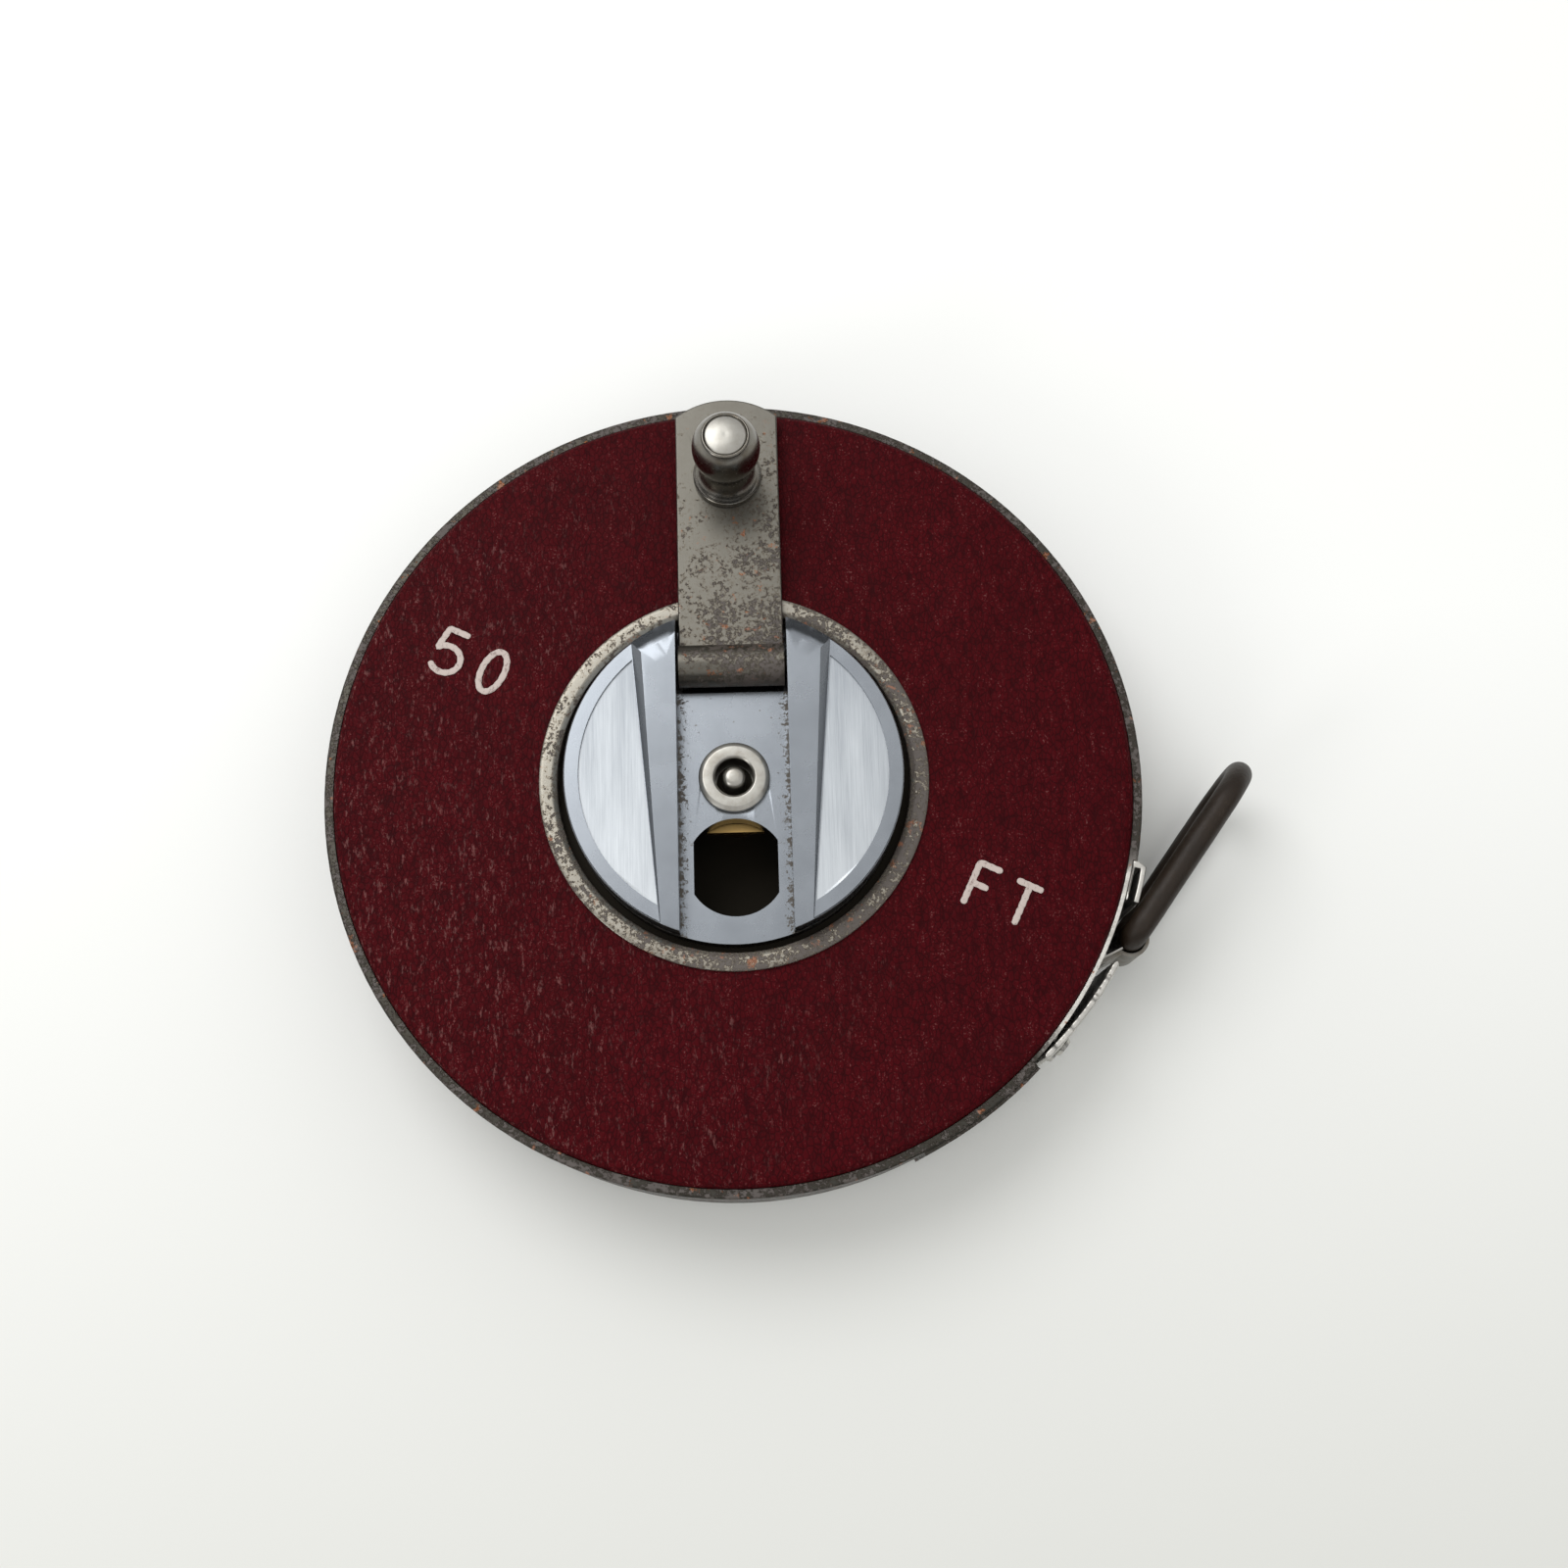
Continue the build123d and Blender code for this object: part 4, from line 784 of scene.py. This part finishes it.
# ------------------------------------------------------------------ stage
def pale_floor(looks):
    """A pale sheet under the reel, brighter behind it than in front as painted light falloff, and glowing an
    even white far out.
    """
    paper = Finish("pale_floor", Roughness=0.9)
    paper.shader.inputs["Specular IOR Level"].default_value = 0.0
    place = paper.axis("Y")
    # Painted light falloff: the floor's colour is darker in front of the reel.
    behind = place.above(-95.0, 120.0)
    fibre = paper.noise(1.2, 4.0, 0.6)
    near = tuple(c * looks.floor_white for c in (0.76, 0.76, 0.74))
    white = paper.mix(behind, near, (looks.floor_white,) * 3)
    half = 2500.0
    points = [(-half, -half, 0.0), (half, -half, 0.0), (half, half, 0.0), (-half, half, 0.0)]
    floor = make_piece("floor", points, np.array([[0, 1, 2, 3]]), smooth=False)
    material = paper.feed(Base_Color=white, Normal=paper.bump(fibre, 0.01))
    glow = paper.node("ShaderNodeEmission", {}, {"Color": (1.0, 1.0, 1.0, 1.0)}, "Emission")
    lit = Wire(paper, paper.shader.outputs["BSDF"])
    far = paper.radius().above(180.0, 320.0)
    both = paper.node("ShaderNodeMixShader", {}, {0: far, 1: lit, 2: glow}, "Shader")
    output = next(n for n in paper.tree.nodes if n.type == "OUTPUT_MATERIAL")
    paper.link(both, output, "Surface")
    floor.data.materials.append(material)
    return floor


def dark_surround():
    """A dark band that stands round the reel and shows only in its reflections."""
    felt = Finish("dark_surround", Roughness=1.0)
    weave = felt.noise(40.0)
    angle = np.linspace(0, 2 * math.pi, 64, endpoint=False)
    x, y = SURROUND_RADIUS * np.cos(angle), SURROUND_RADIUS * np.sin(angle)
    rows = [np.stack([x, y, np.full(64, z)], 1) for z in (60.0, 330.0)]
    band = make_piece("surround", np.concatenate(rows), grid_faces(2, 64, False, True))
    band.data.materials.append(felt.feed(Base_Color=felt.mix(weave, (0.010,) * 3, (0.03,) * 3)))
    for kind in ("camera", "diffuse", "shadow", "transmission", "volume_scatter"):
        setattr(band, f"visible_{kind}", False)
    return band


def white_world():
    """White where it is seen directly or reflected, and a soft cool light everywhere else."""
    world = bpy.data.worlds.new("surroundings")
    bpy.context.scene.world = world
    world.use_nodes = True
    sky = Tree(world.node_tree)
    output = next(n for n in world.node_tree.nodes if n.type == "OUTPUT_WORLD")
    kinds = ("Camera", "Glossy", "Transmission")
    rays = [sky.node("ShaderNodeLightPath", {}, {}, f"Is {kind} Ray") for kind in kinds]
    seen = rays[0].maths("MAXIMUM", rays[1]).maths("MAXIMUM", rays[2])
    cool = {"Color": (0.99, 1.0, 0.965, 1.0), "Strength": AMBIENT}
    soft = sky.node("ShaderNodeBackground", {}, cool, "Background")
    full = {"Color": (1.0, 1.0, 1.0, 1.0), "Strength": 1.0}
    white = sky.node("ShaderNodeBackground", {}, full, "Background")
    both = sky.node("ShaderNodeMixShader", {}, {0: seen, 1: soft, 2: white}, "Shader")
    sky.link(both, output, "Surface")


# ------------------------------------------------------------------ operators
class PieceOperator:
    """Shared by the operators: they all read the scene's settings."""

    bl_options = {"REGISTER"}

    def execute(self, context):
        self.build(context.scene.tape_reel_looks)
        return {"FINISHED"}


class REEL_OT_leather(PieceOperator, Operator):
    """Covers both faces with grained, slightly puckered leather."""

    bl_idname = "reel.leather"
    bl_label = "Leather faces"

    def build(self, looks):
        skin = leather_finish(looks)
        rear_low, rear_high = node_box("rear_leather")
        front = leather_disc("front_leather_skin", FRONT_HOLE, LEATHER_LOW[2], FACE, 1, 90, 720, 1.0)
        finish_piece(front, skin, "leather", "case", "front_leather")
        rear = leather_disc("rear_leather_skin", REAR_HOLE, rear_low[2], rear_high[2], -1, 90, 540, 1.0)
        finish_piece(rear, skin, "leather", "case", "rear_leather")


class REEL_OT_marks(PieceOperator, Operator):
    """Stamps the length, 50 FT, in foil across the front face."""

    bl_idname = "reel.marks"
    bl_label = "Foil marks"

    def build(self, looks):
        foil = foil_finish(looks)
        for name, (along, strokes) in strokes_of_marks().items():
            glyph(name, along, strokes, foil)


class REEL_OT_case_metal(PieceOperator, Operator):
    """Turns the bezel; gives it and the rear boss plate their aged nickel, the rim band the same aged nickel
    darkened as painted shade, and the shells a dark plain metal.
    """

    bl_idname = "reel.case_metal"
    bl_label = "Bezel and band"

    def build(self, looks):
        bezel_metal = mottled_nickel("bezel_nickel_aged", looks, 0.085, 1.0, lean=(0.0016, -0.0010))
        profile = rounded(
            [
                (BEZEL_HIGH[0], FACE),
                (BEZEL_HIGH[0], BEZEL_HIGH[2] - 0.1),
                (BEZEL_HIGH[0] - 0.35, BEZEL_HIGH[2]),
                (BEZEL_HIGH[0] - 1.5, BEZEL_HIGH[2]),
                (BEZEL_INNER, BEZEL_HIGH[2] - 0.3),
                (BEZEL_INNER, BEZEL_LOW[2]),
                (FRONT_HOLE - 0.05, BEZEL_LOW[2]),
                (FRONT_HOLE - 0.05, FACE),
            ],
            0.14,
        )
        def dent(t):
            return 0.02 * (np.sin(3 * t + 1) + np.sin(11 * t) - 2)

        bezel = lathe("bezel_turned", profile, segments=256, dent=dent)
        finish_piece(bezel, bezel_metal, "bezel_nickel", "case", "bezel_ring")
        # The rim band's side takes the nickel at a fifth of its brightness: painted shade, over rust as on the
        # bezel.
        band_metal_shaded = mottled_nickel("band_nickel_aged_shaded", looks, 0.09, 0.20, 90, polished=True)
        softened("rim_band", "rim_band_worn", band_metal_shaded, "band_nickel", 0.12)
        coat("rear_boss_plate", bezel_metal)
        for node in ("front_shell", "rear_shell"):
            coat(node, plain_metal(f"{node}_plate", looks.inside_dark, 0.5))


class REEL_OT_mouth(PieceOperator, Operator):
    """Hammers the mouth's wall out of thin sheet and finishes its lip and rivets."""

    bl_idname = "reel.mouth"
    bl_label = "Tape mouth"

    def build(self, looks):
        metal = rubbed_nickel("mouth_nickel_rubbed", looks, 0.02)
        finish_piece(mouth_wall(), metal, "mouth_nickel", "case", "mouth_plate")
        softened("mouth_lip", "mouth_lip_worn", metal, "mouth_nickel", 0.15)
        coat("mouth_rivets", metal)


class REEL_OT_disc(PieceOperator, Operator):
    """Wears the winding disc's edges and gives it its smooth and brushed chrome."""

    bl_idname = "reel.disc"
    bl_label = "Winding disc"

    def build(self, looks):
        softened("winding_disc", "winding_disc_worn", disc_finish(looks), "disc_nickel", 0.16)


class REEL_OT_handle(PieceOperator, Operator):
    """Wears the strap's edges and turns the knob and its stud."""

    bl_idname = "reel.handle"
    bl_label = "Handle and knob"

    def build(self, looks):
        strap_metal = mottled_nickel("strap_nickel_aged", looks, 0.13, 0.50, lean=(0.004, -0.0032))
        softened("handle_strap", "handle_strap_worn", strap_metal, "handle_nickel", 0.18)
        bottom, top = KNOB_LOW[2], KNOB_HIGH[2]
        radius = (KNOB_HIGH[0] - KNOB_LOW[0]) / 2
        stud_low, stud_high = node_box("knob_stud")
        head = (stud_high[0] - stud_low[0]) / 2
        shaft = KNOB_SHAFT
        neck = (KNOB_NECK[0], bottom + KNOB_NECK[1])
        throat = (KNOB_THROAT[0], bottom + KNOB_THROAT[1])
        widest = (radius + KNOB_WIDEST[0], bottom + KNOB_WIDEST[1])
        waist = arc_through((radius, bottom + KNOB_FOOT), neck, throat, 18)
        ball = arc_through(throat, widest, (KNOB_TOP_RADIUS, top), 26)
        edge = [(radius, bottom), (radius, bottom + KNOB_FOOT), (radius - 0.5, bottom + 0.9)]
        foot = rounded([(shaft, bottom), *edge], 0.2, closed=False)
        well = [(head + 0.1, top), (head + 0.1, stud_high[2] - 0.85), (shaft, stud_high[2] - 0.85)]
        profile = np.concatenate([foot[:-1], waist[1:], ball[1:], well])
        steel = turned_steel("knob_steel_turned", looks, looks.steel_dark, 0.2, 0.8)
        finish_piece(lathe("knob_turned", profile, KNOB_Y, 96), steel, "knob_steel", "knob", "knob")
        crown = stud_high[2]
        dome = arc_through((head, crown - 0.28), (head * 0.6, crown - 0.06), (0, crown), 14)
        under_head = stud_high[2] - 0.8
        stem = [(0, stud_low[2]), (STUD_SHAFT, stud_low[2]), (STUD_SHAFT, under_head), (head, under_head)]
        profile = np.concatenate([stem, dome])
        bright = turned_steel("stud_steel_bright", looks, looks.steel_light, 0.3, 0.3)
        finish_piece(lathe("knob_stud_turned", profile, KNOB_Y, 96), bright, "knob_steel", "handle", "knob_stud")


class REEL_OT_axle(PieceOperator, Operator):
    """Turns the axle's cap and finishes the push pin."""

    bl_idname = "reel.axle"
    bl_label = "Axle cap and pin"

    def build(self, looks):
        steel = turned_steel("cap_steel_turned", looks, looks.steel_light, 0.25, 0.45)
        outer, top = CAP_HIGH[0], CAP_HIGH[2]
        seat = top - CAP_HEIGHT
        profile = [
            (CAP_HOLE, CAP_LOW[2]),
            (CAP_HOLE + 0.35, CAP_LOW[2]),
            (CAP_HOLE + 0.35, seat),
            (outer, seat),
            (outer, top - 0.25),
            (outer - 0.5, top - 0.02),
            (CAP_HOLE + 0.25, top),
            (CAP_HOLE, top - 0.2),
        ]
        cap = lathe("axle_cap_turned", rounded(profile, 0.08), segments=128)
        finish_piece(cap, steel, "cap_steel", "case", "axle_cap")
        softened("push_pin", "push_pin_worn", steel, "cap_steel", 0.1)
        coat("axle_tube", steel)


class REEL_OT_tape_end(PieceOperator, Operator):
    """Finishes the tape's end and bends the pull ring from round wire."""

    bl_idname = "reel.tape_end"
    bl_label = "Tape end and ring"

    def build(self, looks):
        finish_piece(pull_ring(), browned_finish(looks), "ring_bronze", "ring", "end_ring")
        clip = turned_steel("clip_steel_dark", looks, looks.steel_dark, 0.35, 0.9)
        softened("end_clip", "end_clip_worn", clip, "clip_steel", 0.08)
        coat("clip_rivets", clip)


class REEL_OT_inside(PieceOperator, Operator):
    """Gives the tape, the drum and the other hidden pieces their metals."""

    bl_idname = "reel.inside"
    bl_label = "Drum and tape"

    def build(self, looks):
        metals = {
            plain_metal("tape_steel_drawn", looks.steel_light, 0.35): (
                "tape_coil",
                "tape_lead",
                "tape_anchor",
            ),
            plain_metal("brass_turned", (0.50, 0.33, 0.12), 0.3): ("hub_bush", "thrust_washer"),
            plain_metal("drum_steel", looks.inside_dark, 0.55): (
                "drum_front_flange",
                "drum_rear_flange",
                "drum_hub",
                "drum_rivets",
                "hinge_pin",
                "pin_clip",
            ),
        }
        for metal, nodes in metals.items():
            for node in nodes:
                coat(node, metal)


class REEL_OT_stage(PieceOperator, Operator):
    """Sets the pale floor, the lights, the white surroundings and the camera."""

    bl_idname = "reel.stage"
    bl_label = "Stage"

    def build(self, looks):
        scene = bpy.context.scene
        scene.view_settings.view_transform = "Standard"
        pale_floor(looks)
        dark_surround()
        for name, place, size, power in LIGHTS:
            lamp = bpy.data.lights.new(name, "AREA")
            lamp.shape = "DISK"
            lamp.size = size
            lamp.energy = power
            holder = bpy.data.objects.new(name, lamp)
            holder.location = place
            holder.rotation_euler = (-Vector(place)).to_track_quat("-Z", "Y").to_euler()
            scene.collection.objects.link(holder)
        white_world()
        camera = bpy.data.objects.new("camera", bpy.data.cameras.new("camera"))
        camera.data.lens = CAMERA_LENS
        camera.data.clip_start = 0.01
        camera.location = CAMERA_PLACE
        roll, tilt, turn = (math.radians(a) for a in CAMERA_ANGLES)
        aim = Matrix.Rotation(turn, 3, "Z") @ Matrix.Rotation(tilt, 3, "X") @ Matrix.Rotation(roll, 3, "Z")
        camera.rotation_euler = aim.to_euler()
        scene.collection.objects.link(camera)
        scene.camera = camera


# ------------------------------------------------------------------ panel and registration
STEPS = (
    REEL_OT_leather,
    REEL_OT_marks,
    REEL_OT_case_metal,
    REEL_OT_mouth,
    REEL_OT_disc,
    REEL_OT_handle,
    REEL_OT_axle,
    REEL_OT_tape_end,
    REEL_OT_inside,
    REEL_OT_stage,
)


class REEL_PT_looks(Panel):
    """Sidebar panel with one button for each step."""

    bl_label = "Tape Reel"
    bl_space_type = "VIEW_3D"
    bl_region_type = "UI"
    bl_category = "Tape Reel"

    def draw(self, context):
        for step in STEPS:
            self.layout.operator(step.bl_idname)


CLASSES = (TapeReelLooks, *STEPS, REEL_PT_looks)


def register():
    for cls in CLASSES:
        bpy.utils.register_class(cls)
    bpy.types.Scene.tape_reel_looks = PointerProperty(type=TapeReelLooks)


def unregister():
    del bpy.types.Scene.tape_reel_looks
    for cls in reversed(CLASSES):
        bpy.utils.unregister_class(cls)


def main():
    """Run every step in order."""
    register()
    for step in STEPS:
        family, name = step.bl_idname.split(".")
        getattr(getattr(bpy.ops, family), name)()


if __name__ == "__main__":
    main()
